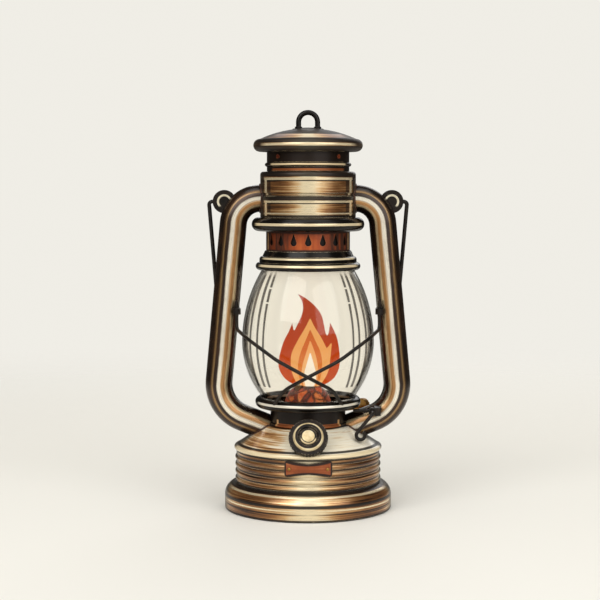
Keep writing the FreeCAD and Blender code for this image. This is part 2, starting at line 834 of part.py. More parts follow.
def make_air_tube(label, side):
    """One air tube, from the side of the canister down to the shoulder and the drum."""
    body = new_body(label)
    run_tube("Additive", body, side, [s.tube_radius, tube_bore])
    gap = s.seat_gap
    cut_turned(body, "canister_seat", [
        (0, canister_foot),
        (s.canister_radius + gap, canister_foot),
        (s.canister_radius + gap, canister_top),
        (0, canister_top),
    ])
    cut_turned(body, "shoulder_seat", [
        (0, 0),
        (s.tank_radius + gap, 0),
        (s.tank_radius + gap, tank_top + s.seam_bead_radius + gap),
        (s.shoulder_top_radius + gap, shoulder_top + gap),
        (s.drum_radius + s.drum_bead_radius + gap, shoulder_top + gap),
        (s.drum_radius + s.drum_bead_radius + gap, shoulder_top + s.drum_bead_radius * 2),
        (s.drum_radius + gap, shoulder_top + s.drum_bead_radius * 2 + gap),
        (s.drum_radius + gap, drum_top + s.tube_radius),
        (0, drum_top + s.tube_radius),
    ])
    return body


def make_ear(label, side):
    """A round lug on the outside of a tube's top bend, dished on both faces and bored for the bail."""
    body = new_body(label)
    middle = ear_reach * side
    disc = new_sketch(body, f"{label}_disc")
    draw_circle(disc, middle, ear_height, s.ear_radius)
    pad(body, disc, s.ear_thickness, middle=True)
    for face in (-1, 1):
        dish = new_sketch(body, f"{label}_dish_{face + 1}")
        raise_plane(dish, s.ear_thickness / 2 * face)
        draw_circle(dish, middle, ear_height, s.ear_dish_radius)
        pocket(body, dish, s.ear_dish_depth, back=face < 0)
    cut_for_tube(body, side)
    bore(body, "bail_hole", (0, 0, ear_height), ALONG_X if side > 0 else AGAINST_X,
         s.bail_wire_radius + s.running_gap, ear_reach + s.ear_radius * 2)
    return body


def make_guard_eye(label, side):
    """An upright eye on the front of a tube, in which the end of a guard wire slides."""
    body = new_body(label)
    across, front = guard_eye_across * side, guard_eye_front * -1
    low = s.guard_eye_height - s.guard_eye_length / 2
    ring = new_sketch(body, f"{label}_ring", "XY_Plane")
    raise_plane(ring, low)
    draw_circle(ring, across, front, s.guard_eye_radius)
    pad(body, ring, s.guard_eye_length)
    foot = new_sketch(body, f"{label}_foot", "XY_Plane")
    raise_plane(foot, low)
    draw_box(foot, s.guard_eye_foot_width, guard_eye_front, across, front / 2)
    pad(body, foot, s.guard_eye_length)
    cut_for_tube(body, side)
    bore(body, "wire_hole", (across, front, 0), FreeCAD.Rotation(), s.guard_wire_radius + s.running_gap,
         s.guard_eye_height * 2)
    return body


def make_lever_bracket():
    """The bracket on the right tube that carries the shaft of the globe lever."""
    body = new_body("lever_bracket")
    near = lever_back + s.lever_bend + s.rest_gap
    far = near + s.lever_boss_length
    boss = new_sketch(body, "lever_bracket_boss")
    raise_plane(boss, near)
    draw_circle(boss, lever_reach, lever_height, s.lever_boss_radius)
    pad(body, boss, s.lever_boss_length)
    foot = new_sketch(body, "lever_bracket_foot")
    inside = lever_reach + s.lever_wire_radius + s.rest_gap * 2
    draw_box(foot, s.lever_foot_width, s.lever_boss_radius * 2, inside + s.lever_foot_width / 2, lever_height)
    pad(body, foot, far)
    cut_for_tube(body, 1)
    bore(body, "shaft_hole", (lever_reach, far * -2, lever_height), ALONG_Y,
         s.lever_wire_radius + s.running_gap, far * 2)
    return body


def make_globe_plate():
    """The dish that carries the globe, with a solid rolled rim and a ring of vents."""
    wall = s.globe_foot_radius + s.rest_gap
    land = wall + s.sheet_wall
    top = plate_floor + s.plate_rim_height
    half = s.plate_rim_height / 2
    bow = bow_radius(half, s.plate_radius - land)
    floor = plate_floor + s.sheet_wall
    body = turned_part("globe_plate", [
        (s.plate_bore_radius, plate_floor),
        (land, plate_floor),
        (s.plate_radius, plate_floor + half, bow, "right"),
        (land, top, bow, "right"),
        (wall, top),
        (wall, floor),
        (s.plate_bore_radius, floor),
    ])
    vent = new_sketch(body, "globe_plate_vent", "XY_Plane")
    draw_circle(vent, s.plate_vent_circle, 0, s.plate_vent_radius)
    repeat_round(body, pocket(body, vent, middle=True), s.plate_vent_count)
    return body


def make_globe():
    """The glass globe: two arcs that meet at the bulge, between plain lips."""
    bulge = globe_foot + s.globe_bulge_height
    low = plate_floor + s.plate_rim_height + s.rest_gap
    high = globe_top - s.globe_lip_height
    low_bow = bow_radius(bulge - low, s.globe_bulge_radius - s.globe_foot_radius)
    high_bow = bow_radius(high - bulge, s.globe_bulge_radius - s.globe_top_radius)
    glass = s.glass_wall
    return turned_part("globe", [
        (s.globe_foot_radius - glass, globe_foot),
        (s.globe_foot_radius, globe_foot),
        (s.globe_foot_radius, low),
        (s.globe_bulge_radius, bulge, low_bow, "right"),
        (s.globe_top_radius, high, high_bow, "right"),
        (s.globe_top_radius, globe_top),
        (s.globe_top_radius - glass, globe_top),
        (s.globe_top_radius - glass, high),
        (s.globe_bulge_radius - glass, bulge, high_bow, "left"),
        (s.globe_foot_radius - glass, low, low_bow, "left"),
    ])


def make_globe_collar():
    """The two-step collar that rests on the top of the globe and carries the hood."""
    grip = s.globe_top_radius + s.rest_gap
    roll = s.collar_rim_roll
    rim = s.collar_radius - roll
    step = s.collar_step_radius
    ledge = s.globe_top_radius - s.glass_wall - s.seat_gap
    neck = s.gallery_radius + s.sheet_wall
    return turned_part("globe_collar", [
        (grip, collar_foot),
        (rim, collar_foot),
        (s.collar_radius, collar_foot + roll, roll, "right"),
        (rim, collar_foot + roll * 2, roll, "right"),
        (rim, collar_foot + roll * 2 + step),
        (rim - step, collar_foot + (roll + step) * 2, step, "right"),
        (neck, collar_top),
        (s.chimney_radius, collar_top),
        (s.chimney_radius, collar_top - s.sheet_wall),
        (neck - s.sheet_wall * 2, collar_top - s.sheet_wall),
        (ledge, collar_foot + (roll + step) * 2 - s.sheet_wall),
        (ledge, collar_seat),
        (grip, collar_seat),
    ])


def make_gallery():
    """The pierced sleeve over the collar, with a ring of drop-shaped holes."""
    foot = collar_top + s.seat_gap
    body = turned_part("gallery", [
        (s.gallery_radius - s.sheet_wall, foot),
        (s.gallery_radius, foot),
        (s.gallery_radius, gallery_top),
        (s.gallery_radius - s.sheet_wall, gallery_top),
    ])
    radius = s.gallery_hole_radius
    middle = foot + s.gallery_hole_lift
    lean = radius / s.gallery_hole_length
    across = radius * root(1 - lean * lean)
    shoulder = middle + radius * lean
    drop = new_sketch(body, "gallery_hole")
    draw_outline(drop, [
        (0, middle + s.gallery_hole_length),
        (across * -1, shoulder),
        (0, middle - radius, radius, "right"),
        (across, shoulder, radius, "right"),
    ])
    hole = pocket(body, drop, s.gallery_radius + s.sheet_wall, back=True)
    repeat_round(body, hole, s.gallery_hole_count)
    return body


def make_chimney():
    """The tube that leads hot air from the collar to the hood cap."""
    return turned_part("chimney_tube", [
        (s.chimney_radius - s.sheet_wall, collar_top + s.seat_gap),
        (s.chimney_radius, collar_top + s.seat_gap),
        (s.chimney_radius, neck_top + s.sheet_wall),
        (s.chimney_radius - s.sheet_wall, neck_top + s.sheet_wall),
    ])


def make_spring_seat():
    """The ring on the chimney that the hood spring pushes down."""
    return turned_part("spring_seat", [
        (s.chimney_radius + s.seat_gap, spring_seat_foot),
        (s.spring_seat_radius, spring_seat_foot),
        (s.spring_seat_radius, spring_seat_foot + s.spring_seat_height),
        (s.chimney_radius + s.seat_gap, spring_seat_foot + s.spring_seat_height),
    ])


def make_hood_neck():
    """The dark sleeve under the hood cap, with a round bead."""
    inner = s.chimney_radius + s.seat_gap
    bead = s.neck_bead_radius
    middle = neck_foot + s.neck_bead_lift
    return turned_part("hood_neck", [
        (inner, neck_foot),
        (s.neck_radius, neck_foot),
        (s.neck_radius, middle - bead),
        (s.neck_radius + bead, middle, bead, "right"),
        (s.neck_radius, middle + bead, bead, "right"),
        (s.neck_radius, neck_top),
        (inner, neck_top),
    ])


def make_hood_cap():
    """The hood's cap: a low dome with a rolled rim, vented below and pierced for the lift loop."""
    roll = s.cap_rim_height / 2
    inner_roll = roll - s.sheet_wall
    rim = s.cap_radius - roll
    foot = neck_top + s.seat_gap
    middle = foot + roll
    bow = bow_radius(rim, s.cap_dome_rise)
    body = turned_part("hood_cap", [
        (s.chimney_radius + s.seat_gap, foot),
        (rim, foot),
        (s.cap_radius, middle, roll, "right"),
        (rim, middle + roll, roll, "right"),
        (0, middle + roll + s.cap_dome_rise, bow, "right"),
        (0, middle + roll + s.cap_dome_rise - s.sheet_wall),
        (rim, middle + inner_roll, bow, "left"),
        (rim + inner_roll, middle, inner_roll, "left"),
        (rim, foot + s.sheet_wall, inner_roll, "left"),
        (s.chimney_radius + s.seat_gap, foot + s.sheet_wall),
    ])
    vent = new_sketch(body, "hood_cap_vent", "XY_Plane")
    raise_plane(vent, foot)
    draw_circle(vent, s.cap_vent_circle, 0, s.cap_vent_radius)
    repeat_round(body, pocket(body, vent, s.sheet_wall, back=True), s.cap_vent_count)
    legs = new_sketch(body, "hood_cap_loop_holes", "XY_Plane")
    raise_plane(legs, cap_top - loop_root)
    for side in (-1, 1):
        draw_circle(legs, s.loop_bend_radius * side, 0, s.loop_wire_radius + s.seat_gap)
    pocket(body, legs, loop_root * 2, back=True)
    return body


def make_lift_loop():
    """The wire loop on the hood, whose legs pass through the dome."""
    body = new_body("lift_loop")
    bend = s.loop_bend_radius
    spring_line = cap_top + s.loop_rise
    path = new_sketch(body, "lift_loop_path")
    draw_outline(path, [
        (bend * -1, cap_top - loop_root),
        (bend * -1, spring_line),
        (0, spring_line + bend, bend, "left"),
        (bend, spring_line, bend, "left"),
        (bend, cap_top - loop_root),
    ], closed=False)
    section = new_sketch(body, "lift_loop_section", "XY_Plane")
    raise_plane(section, cap_top - loop_root)
    draw_circle(section, bend * -1, 0, s.loop_wire_radius)
    pipe("Additive", body, section, path)
    return body


def make_hood_rivets():
    """The rivet heads round the hood neck."""
    body = new_body("hood_rivets")
    body.AllowCompound = True
    head = new_sketch(body, "hood_rivet_head")
    raise_plane(head, s.neck_radius + s.seat_gap / 2)
    draw_circle(head, 0, neck_top - s.rivet_drop, s.rivet_radius)
    repeat_round(body, pad(body, head, s.rivet_height), s.rivet_count)
    body.Placement = FreeCAD.Placement(Vector(), FreeCAD.Rotation(UP, 180 / float(s.rivet_count)))
    return body


def make_burner_collar():
    """The threaded ring that closes the tank under the burner and holds the wick tube."""
    foot = shoulder_top + s.seat_gap
    top = foot + s.burner_land_height
    inner = s.burner_thread_radius - s.burner_thread_wall
    body = turned_part("burner_collar", [
        (inner, shoulder_top - s.burner_thread_depth),
        (s.burner_thread_radius, shoulder_top - s.burner_thread_depth),
        (s.burner_thread_radius, foot),
        (s.burner_land_radius, foot),
        (s.burner_land_radius, top),
        (0, top),
        (0, foot),
        (inner, foot),
    ])
    cut_wick_slot(body, wick_tube_width + s.seat_gap * 2, wick_tube_depth + s.seat_gap * 2)
    body.Placement = FreeCAD.Placement(Vector(), BURNER_WAY)
    return body


def cut_wick_slot(body, width, depth):
    """Cuts an upright slot of that width and depth through a burner piece."""
    slot = new_sketch(body, f"{body.Name}_slot", "XY_Plane")
    draw_box(slot, width, depth)
    return pocket(body, slot, middle=True)


def make_burner_deck():
    """The pierced deck under the top of the drum, round the wick tube."""
    edge = s.drum_radius - s.sheet_wall - s.seat_gap
    body = turned_part("burner_deck", [
        (0, deck_top - s.sheet_wall),
        (edge, deck_top - s.sheet_wall),
        (edge, deck_top),
        (0, deck_top),
    ])
    vent = new_sketch(body, "burner_deck_vent", "XY_Plane")
    draw_circle(vent, s.deck_vent_circle, 0, s.deck_vent_radius)
    repeat_round(body, pocket(body, vent, middle=True), s.deck_vent_count)
    cut_wick_slot(body, wick_tube_width + s.seat_gap * 2, wick_tube_depth + s.seat_gap * 2)
    body.Placement = FreeCAD.Placement(Vector(), BURNER_WAY)
    return body


def make_burner_dome():
    """The slotted dome over the end of the wick."""
    skirt_top = dome_foot + s.dome_skirt
    rise = s.dome_height - s.dome_skirt
    inner = s.dome_radius - s.sheet_wall
    body = turned_part("burner_dome", [
        (s.dome_radius, dome_foot),
        (s.dome_radius, skirt_top),
        (0, dome_top, bow_radius(s.dome_radius, rise), "right"),
        (0, dome_top - s.sheet_wall),
        (inner, skirt_top, bow_radius(inner, rise - s.sheet_wall), "left"),
        (inner, dome_foot),
    ])
    cut_wick_slot(body, s.dome_slot_length, s.dome_slot_width)
    body.Placement = FreeCAD.Placement(Vector(), BURNER_WAY)
    return body


def make_wick_tube():
    """The flat tube that the wick slides in, with a window for the star wheels and two spindle lugs."""
    body = new_body("wick_tube")
    section = new_sketch(body, "wick_tube_section", "XY_Plane")
    raise_plane(section, wick_tube_foot)
    draw_box(section, wick_tube_width, wick_tube_depth)
    draw_box(section, wick_slot_width, wick_slot_depth)
    pad(body, section, wick_tube_top - wick_tube_foot)
    window = new_sketch(body, "wick_tube_window")
    draw_box(window, wick_slot_width - s.lug_thickness, s.window_height, 0, spindle_height)
    pocket(body, window, wick_tube_depth)
    face = wick_tube_depth / 2 - s.wick_tube_wall / 2
    tip = spindle_offset + s.lug_height / 2
    for side in (-1, 1):
        lug = new_sketch(body, f"wick_tube_lug_{side + 1}", "YZ_Plane")
        raise_plane(lug, (wick_tube_width - s.lug_thickness) / 2 * side)
        draw_box(lug, tip - face, s.lug_height, (tip + face) / 2, spindle_height)
        pad(body, lug, s.lug_thickness, middle=True)
    bore(body, "spindle_hole", (wick_tube_width * -1, spindle_offset, spindle_height), ALONG_X, spindle_bore,
         wick_tube_width * 2)
    body.Placement = FreeCAD.Placement(Vector(), BURNER_WAY)
    return body


def make_wick():
    """The flat woven wick, from the foot of the tank to just above the dome."""
    body = new_body("wick")
    corner = s.wick_thickness / 2
    half = s.wick_width / 2
    top = dome_top + s.wick_show
    strip = new_sketch(body, "wick_face")
    draw_outline(strip, [
        (half * -1, s.wick_foot_height),
        (half, s.wick_foot_height),
        (half, top - corner),
        (half - corner, top, corner, "right"),
        (corner - half, top),
        (half * -1, top - corner, corner, "right"),
    ])
    pad(body, strip, s.wick_thickness, middle=True)
    body.Placement = FreeCAD.Placement(Vector(), BURNER_WAY)
    return body


def make_flame():
    """The flame: three lofted tongues round the crown of the dome, with room for the wick to rise in."""
    body = new_body("flame")
    for name, rows in FLAME_TONGUES.items():
        slices = []
        for index, (height, middle, width) in enumerate(rows):
            half = s.flame_half_width * width
            lens = new_sketch(body, f"flame_{name}_{index}", "XY_Plane")
            raise_plane(lens, flame_foot + s.flame_height * height)
            bow = bow_radius(half, half * s.flame_flatness)
            centre = s.flame_half_width * middle
            draw_outline(lens, [(centre - half, 0, bow, "right"), (centre + half, 0, bow, "right")])
            slices.append(lens)
        tongue = body.newObject("PartDesign::AdditiveLoft", f"flame_{name}")
        tongue.Profile = slices[0]
        tongue.Sections = slices[1:]
    skirt_top = dome_foot + s.dome_skirt
    edge = s.dome_radius + s.seat_gap
    cut_turned(body, "dome_room", [
        (0, dome_foot),
        (edge, dome_foot),
        (edge, skirt_top),
        (0, dome_top + s.seat_gap, bow_radius(edge, s.dome_height - s.dome_skirt + s.seat_gap), "right"),
    ])
    around = s.seat_gap * 2
    rooms = {
        "wick": (wick_slot_width, wick_slot_depth, flame_room_top),
        "tube": (wick_tube_width + around, wick_tube_depth + around, wick_tube_top + s.seat_gap),
    }
    for name, (width, depth, top) in rooms.items():
        room = body.newObject("PartDesign::SubtractiveBox", f"flame_{name}_room")
        room.setExpression("Length", width.formula)
        room.setExpression("Width", depth.formula)
        room.setExpression("Height", (top - dome_foot).formula)
        set_place(room, burner_spot(width / -2, depth / -2, dome_foot), BURNER_WAY)
    return body


def spindle_piece(body, along):
    """Sets a piece that is turned about its own Z axis on the spindle, that far along it."""
    set_place(body, burner_spot(along, spindle_offset, spindle_height), SPINDLE_WAY)
    return body


def make_spindle():
    """The winder's spindle, from the wick tube's far lug out to the thumb wheel."""
    tail = wick_tube_width / 2 + s.lug_thickness
    body = turned_part("winder_spindle", [
        (0, 0),
        (s.spindle_radius, 0),
        (s.spindle_radius, s.spindle_reach + tail),
        (0, s.spindle_reach + tail),
    ])
    return spindle_piece(body, tail * -1)


def make_spindle_bush():
    """The bush in the wall of the drum that the spindle turns in."""
    inside = root(s.drum_radius * s.drum_radius - spindle_offset * spindle_offset) - s.sheet_wall
    length = s.sheet_wall + s.bush_stand + s.bush_flange
    seat = s.sheet_wall + s.bush_flange
    body = turned_part("spindle_bush", [
        (spindle_bore, 0),
        (bush_radius, 0),
        (bush_radius, seat),
        (bush_radius + s.bush_flange, seat),
        (bush_radius + s.bush_flange, length),
        (spindle_bore, length),
    ])
    return spindle_piece(body, inside)


def make_star_wheels():
    """The toothed wheels on the spindle that drive the wick."""
    body = new_body("star_wheels")
    body.AllowCompound = True
    for index in range(int(s.star_count.number)):
        disc = new_sketch(body, f"star_wheel_{index}", "XY_Plane")
        raise_plane(disc, s.star_pitch * index)
        draw_circle(disc, 0, 0, s.star_radius)
        draw_circle(disc, 0, 0, spindle_bore)
        pad(body, disc, s.star_width)
    length = s.star_pitch * (s.star_count - 1) + s.star_width
    notch = new_sketch(body, "star_wheel_notch", "XY_Plane")
    draw_circle(notch, s.star_radius, 0, s.star_notch_radius)
    repeat_round(body, pocket(body, notch, length, back=True), s.star_teeth)
    return spindle_piece(body, length / -2)


def make_thumb_wheel():
    """The notched wheel at the end of the spindle."""
    body = new_body("thumb_wheel")
    disc = new_sketch(body, "thumb_wheel_disc", "XY_Plane")
    draw_circle(disc, 0, 0, s.thumb_radius)
    draw_circle(disc, 0, 0, spindle_bore)
    pad(body, disc, s.thumb_width)
    notch = new_sketch(body, "thumb_wheel_notch", "XY_Plane")
    draw_circle(notch, s.thumb_radius, 0, s.thumb_notch_radius)
    repeat_round(body, pocket(body, notch, s.thumb_width, back=True), s.thumb_notches)
    return spindle_piece(body, s.spindle_reach - s.thumb_width)


def filler_piece(label, outline):
    """A sub-part turned about the filler's axis, with heights measured from the shoulder's face."""
    body = turned_part(label, outline)
    set_place(body, filler_spot(0), FILLER_WAY)
    return body


def make_filler_neck():
    """The short neck through the shoulder that the tank is filled by."""
    return filler_piece("filler_neck", [
        (filler_bore, s.filler_neck_depth * -1),
        (s.filler_neck_radius, s.filler_neck_depth * -1),
        (s.filler_neck_radius, s.filler_neck_stand),
        (filler_bore, s.filler_neck_stand),
    ])


def make_filler_gasket():
    """The sealing ring between the neck and its cap."""
    foot = s.filler_neck_stand + s.seat_gap
    outer = s.filler_neck_radius - s.seat_gap
    return filler_piece("filler_gasket", [
        (outer - s.gasket_width, foot),
        (outer, foot),
        (outer, foot + s.gasket_thickness),
        (outer - s.gasket_width, foot + s.gasket_thickness),
    ])


def make_filler_cap():
    """The screw cap: a gripped rim, a raised ring and a round boss."""
    inner = s.filler_neck_radius + s.running_gap
    skirt = inner + s.sheet_wall
    rim_top = filler_ceiling + s.sheet_wall
    rim_foot = rim_top - s.filler_cap_rim
    edge = s.sheet_wall
    crown = s.filler_cap_crown_radius
    boss = s.filler_boss_radius
    moat = rim_top + s.filler_cap_crown_height / 3
    crown_top = rim_top + s.filler_cap_crown_height
    rise = s.filler_boss_height - s.filler_cap_crown_height
    body = filler_piece("filler_cap", [
        (0, filler_ceiling),
        (inner, filler_ceiling),
        (inner, filler_cap_foot),
        (skirt, filler_cap_foot),
        (skirt, rim_foot),
        (s.filler_cap_radius - edge, rim_foot),
        (s.filler_cap_radius, rim_foot + edge, edge, "right"),
        (s.filler_cap_radius, rim_top - edge),
        (s.filler_cap_radius - edge, rim_top, edge, "right"),
        (crown + edge, rim_top),
        (crown, crown_top, edge * 2, "right"),
        (boss + edge * 2, crown_top),
        (boss + edge, moat),
        (boss, moat),
        (boss, crown_top),
        (0, crown_top + rise, bow_radius(boss, rise), "right"),
    ])
    grip = new_sketch(body, "filler_cap_grip", "XY_Plane")
    raise_plane(grip, rim_foot)
    draw_circle(grip, s.filler_cap_radius, 0, s.filler_grip_radius)
    repeat_round(body, pocket(body, grip, s.filler_cap_rim, back=True), s.filler_grip_count)
    return body


def make_bail():
    """The wire bail, drawn upright about its pivot and hung down behind the lantern."""
    body = new_body("bail")
    bow, bend = s.bail_bow_radius, s.bail_bend
    leg = ear_reach + s.ear_radius + s.rest_gap + bend
    rise = s.bail_length - bow
    reach = leg * leg + rise * rise - bow * bow
    lean = 90 - arc_tangent(bow / root(reach)) - arc_tangent(rise / leg)
    run = bend * tangent((90 - lean) / 2)
    half = [
        (bail_end_reach, 0),
        (leg - run, 0),
        (leg - run * sine(lean), run * cosine(lean)),
        (bow * cosine(lean), rise + bow * sine(lean)),
    ]
    pin, turn, leg_foot, leg_top = half
    far_pin, far_turn, far_leg_foot, far_leg_top = [(across * -1, up) for across, up in half]
    path = new_sketch(body, "bail_path")
    draw_outline(path, [
        pin,
        turn,
        leg_foot + (bend, "right"),
        leg_top,
        (0, s.bail_length, bow, "right"),
        far_leg_top + (bow, "right"),
        far_leg_foot,
        far_turn + (bend, "right"),
        far_pin,
    ], closed=False)
    section = new_sketch(body, "bail_section", "YZ_Plane")
    raise_plane(section, bail_end_reach)
    draw_circle(section, 0, 0, s.bail_wire_radius)
    pipe("Additive", body, section, path)
    set_place(body, (0, 0, ear_height), FreeCAD.Rotation(Vector(1, 0, 0), 180 + float(bail_lean)))
    return body


def make_front_plate():
    """The plain waisted plate that stands on the ribs at the front of the tank."""
    body = new_body("front_plate")
    half = s.front_plate_width / 2
    end, waist = s.front_plate_height / 2, s.front_plate_waist / 2
    edge = s.front_plate_edge
    middle = s.front_plate_centre
    inner = s.tank_radius + s.tank_rib_height + s.seat_gap
    face = new_sketch(body, "front_plate_face")
    draw_outline(face, [
        (edge - half, middle - end, edge, "right"),
        (0, middle - waist),
        (half - edge, middle - end),
        (half, middle - end + edge, edge, "right"),
        (half, middle + end - edge),
        (half - edge, middle + end, edge, "right"),
        (0, middle + waist),
        (edge - half, middle + end),
        (half * -1, middle + end - edge, edge, "right"),
        (half * -1, middle - end + edge),
    ])
    pad(body, face, inner * 2)
    low, high = middle - s.front_plate_height, middle + s.front_plate_height
    outer = inner + s.sheet_wall
    cut_turned(body, "back", [(0, low), (inner, low), (inner, high), (0, high)])
    cut_turned(body, "front", [(outer, low), (inner * 3, low), (inner * 3, high), (outer, high)])
    return body


def bent_edges(corners, radii):
    """The edges of a wire through its corners, rounded by tangent arcs."""
    runs = bent_runs(corners, radii)
    edges = []
    for index, (start, end) in enumerate(runs):
        edges.append(Part.LineSegment(start, end).toShape())
        if index < len(radii):
            edges.append(bend_arc(end, corners[index + 1], runs[index + 1][0], radii[index]).toShape())
    return edges


def wire_part(label, edges, radius, seat=None):
    """A sub-part of round wire along those edges, less its seat."""
    route = Part.Wire(edges)
    start = edges[0].valueAt(edges[0].FirstParameter)
    way = edges[0].tangentAt(edges[0].FirstParameter)
    section = Part.Wire([Part.Circle(start, way, radius).toShape()])
    solid = route.makePipeShell([section], True, False)
    expected = math.pi * radius**2 * route.Length
    if abs(abs(solid.Volume) - expected) > expected / 500:
        raise ValueError(f"{label}: volume {solid.Volume:.1f}, but section times length is {expected:.1f}")
    if seat:
        solid = solid.cut(seat)
    wire = doc.addObject("Part::Feature", label)
    wire.Label = label
    wire.Shape = solid
    return wire


def make_guard_wire(label, side, cross_shift):
    """A guard wire, from its eye on one side round the front of the globe to the plate's far rim."""
    def spot(angle, radius, height):
        turn = math.radians(angle)
        return Vector(side * -radius * math.sin(turn), -radius * math.cos(turn), height)

    across, front = side * guard_eye_across.number, -guard_eye_front.number
    eye, wire = s.guard_eye_height.number, s.guard_wire_radius.number
    cross, fall = s.guard_cross_height.number, s.guard_fall.number
    side_angle, near_angle = s.guard_side_angle.number, s.guard_near_angle.number
    low_angle = s.guard_low_angle.number
    wide = (s.globe_bulge_radius + s.guard_side_stand).number
    rim = (s.globe_foot_radius + s.rest_gap + s.sheet_wall).number
    rim_middle = (plate_floor + s.plate_rim_height / 2).number
    half = s.plate_rim_height.number / 2
    bow = bow_radius(half, s.plate_radius.number - rim)
    corners = [
        Vector(across, front, eye + s.guard_tail_above.number),
        Vector(across, front, eye - s.guard_tail_below.number),
        spot(-side_angle, wide, cross + side_angle * fall),
        spot(-near_angle, wide, cross + near_angle * fall),
        spot(0, guard_cross_reach.number + cross_shift, cross),
        spot(low_angle, s.guard_low_reach.number, cross - low_angle * fall),
        spot(s.guard_end_angle.number, s.plate_radius.number - wire, rim_middle + wire),
    ]
    radii = [s.guard_tail_bend.number] + [s.guard_bend.number] * (len(corners) - 3)
    seat = Part.makeTorus(s.plate_radius.number - bow, bow + s.seat_gap.number, Vector(0, 0, rim_middle))
    return wire_part(label, bent_edges(corners, radii), wire, seat)


def make_globe_lever():
    """The bent wire lever that lifts the globe plate: an arm, a shaft and a handle with a curl."""
    bend, curl = s.lever_bend.number, s.lever_curl_radius.number
    height, reach, back = lever_height.number, lever_reach.number, -lever_back.number
    front = back - s.lever_shaft_length.number
    handle = Vector(reach - s.lever_handle_inset.number, front, height - s.lever_handle_drop.number)
    corners = [
        Vector(s.lever_tip_reach.number, back, height),
        Vector(reach, back, height),
        Vector(reach, front, height),
        handle,
    ]
    way = (handle - corners[2]).normalize()
    inward = Vector(-way.z, 0, way.x)
    middle = handle + inward * curl
    edges = bent_edges(corners, [bend, bend])
    for quarter in range(3):
        points = []
        for step in (0, 0.5, 1):
            turn = math.radians(90 * (quarter + step))
            points.append(middle + (inward * -math.cos(turn) + way * math.sin(turn)) * curl)
        edges.append(Part.Arc(*points).toShape())
    return wire_part("globe_lever", edges, s.lever_wire_radius.number)


def make_hood_spring():
    """The coil spring in the canister that holds the hood down on the globe."""
    radius, wire = s.spring_radius.number, s.spring_wire_radius.number
    low, high = spring_foot.number, spring_top.number
    quarters = int(s.spring_turns.number) * 4
    climb = (high - low) / quarters
    pitch_way = climb / (math.pi / 2)

    def spot(quarter):
        turn = math.radians(90 * quarter)
        return Vector(radius * math.cos(turn), radius * math.sin(turn), low + climb * quarter)

    def way(quarter):
        turn = math.radians(90 * quarter)
        return Vector(-radius * math.sin(turn), radius * math.cos(turn), pitch_way).normalize()

    edges = []
    for quarter in range(quarters):
        edges += two_arcs(spot(quarter), way(quarter), spot(quarter + 1), way(quarter + 1))
    print(f"hood_spring: least gap between turns {climb * 4 - wire * 2:.2f} mm")
    return wire_part("hood_spring", edges, wire)


def two_arcs(start, start_way, end, end_way):
    """The two tangent arcs that lead from one place and way to another."""
    chord = end - start
    ways = start_way + end_way
    spread = 2 * (1 - start_way.dot(end_way))
    along = chord.dot(ways)
    reach = (math.sqrt(along**2 + spread * chord.dot(chord)) - along) / spread
    first, second = start + start_way * reach, end - end_way * reach
    middle = (first + second) * 0.5
    arcs = []
    for before, corner, after in ((start, first, middle), (middle, second, end)):
        opening = (before - corner).getAngle(after - corner) / 2
        arcs.append(bend_arc(before, corner, after, reach * math.tan(opening)).toShape())
    return arcs


def make_all():
    """Every sub-part, from the base up."""
    cross_shift = s.guard_wire_radius.number + s.guard_cross_gap.number / 2
    return [
        make_foot_ring(),
        make_tank(),
        make_front_plate(),
        make_shoulder(),
        make_filler_neck(),
        make_filler_gasket(),
        make_filler_cap(),
        make_drum(),
        make_burner_collar(),
        make_burner_deck(),
        make_burner_dome(),
        make_wick_tube(),
        make_wick(),
        make_flame(),
        make_spindle_bush(),
        make_spindle(),
        make_star_wheels(),
        make_thumb_wheel(),
        make_air_tube("left_air_tube", -1),
        make_air_tube("right_air_tube", 1),
        make_canister(),
        make_flange(),
        make_ear("left_bail_ear", -1),
        make_ear("right_bail_ear", 1),
        make_bail(),
        make_guard_eye("left_guard_eye", -1),
        make_guard_eye("right_guard_eye", 1),
        make_guard_wire("left_guard_wire", -1, cross_shift),
        make_guard_wire("right_guard_wire", 1, -cross_shift),
        make_lever_bracket(),
        make_globe_lever(),
        make_globe_plate(),
        make_globe(),
        make_globe_collar(),
        make_gallery(),
        make_chimney(),
        make_spring_seat(),
        make_hood_spring(),
        make_hood_neck(),
        make_hood_rivets(),
        make_hood_cap(),
        make_lift_loop(),
    ]


def check(parts):
    """Stops where a feature failed or a sub-part is no sound solid."""
    failed = [thing.Name for thing in doc.Objects if {"Invalid", "Error"} & set(thing.State)]
    if failed:
        raise RuntimeError(f"features failed: {failed}")
    for part in parts:
        shape = part.Shape
        if shape.isNull() or not shape.isValid() or not shape.Solids or shape.Volume <= 0:
            raise RuntimeError(f"{part.Label} is no sound solid")


def main():
    parts = make_all()
    doc.recompute()
    check(parts)
    os.makedirs("parts", exist_ok=True)
    for part in parts:
        part.Shape.exportStep(f"parts/{part.Label}.step")


if __name__ == "__main__":
    main()
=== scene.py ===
"""Looks of the camping lantern: its finishes, flame, wick, spring and small fittings, and the studio."""
import math

import bmesh
import bpy
from mathutils import Matrix, Vector
from mathutils.bvhtree import BVHTree


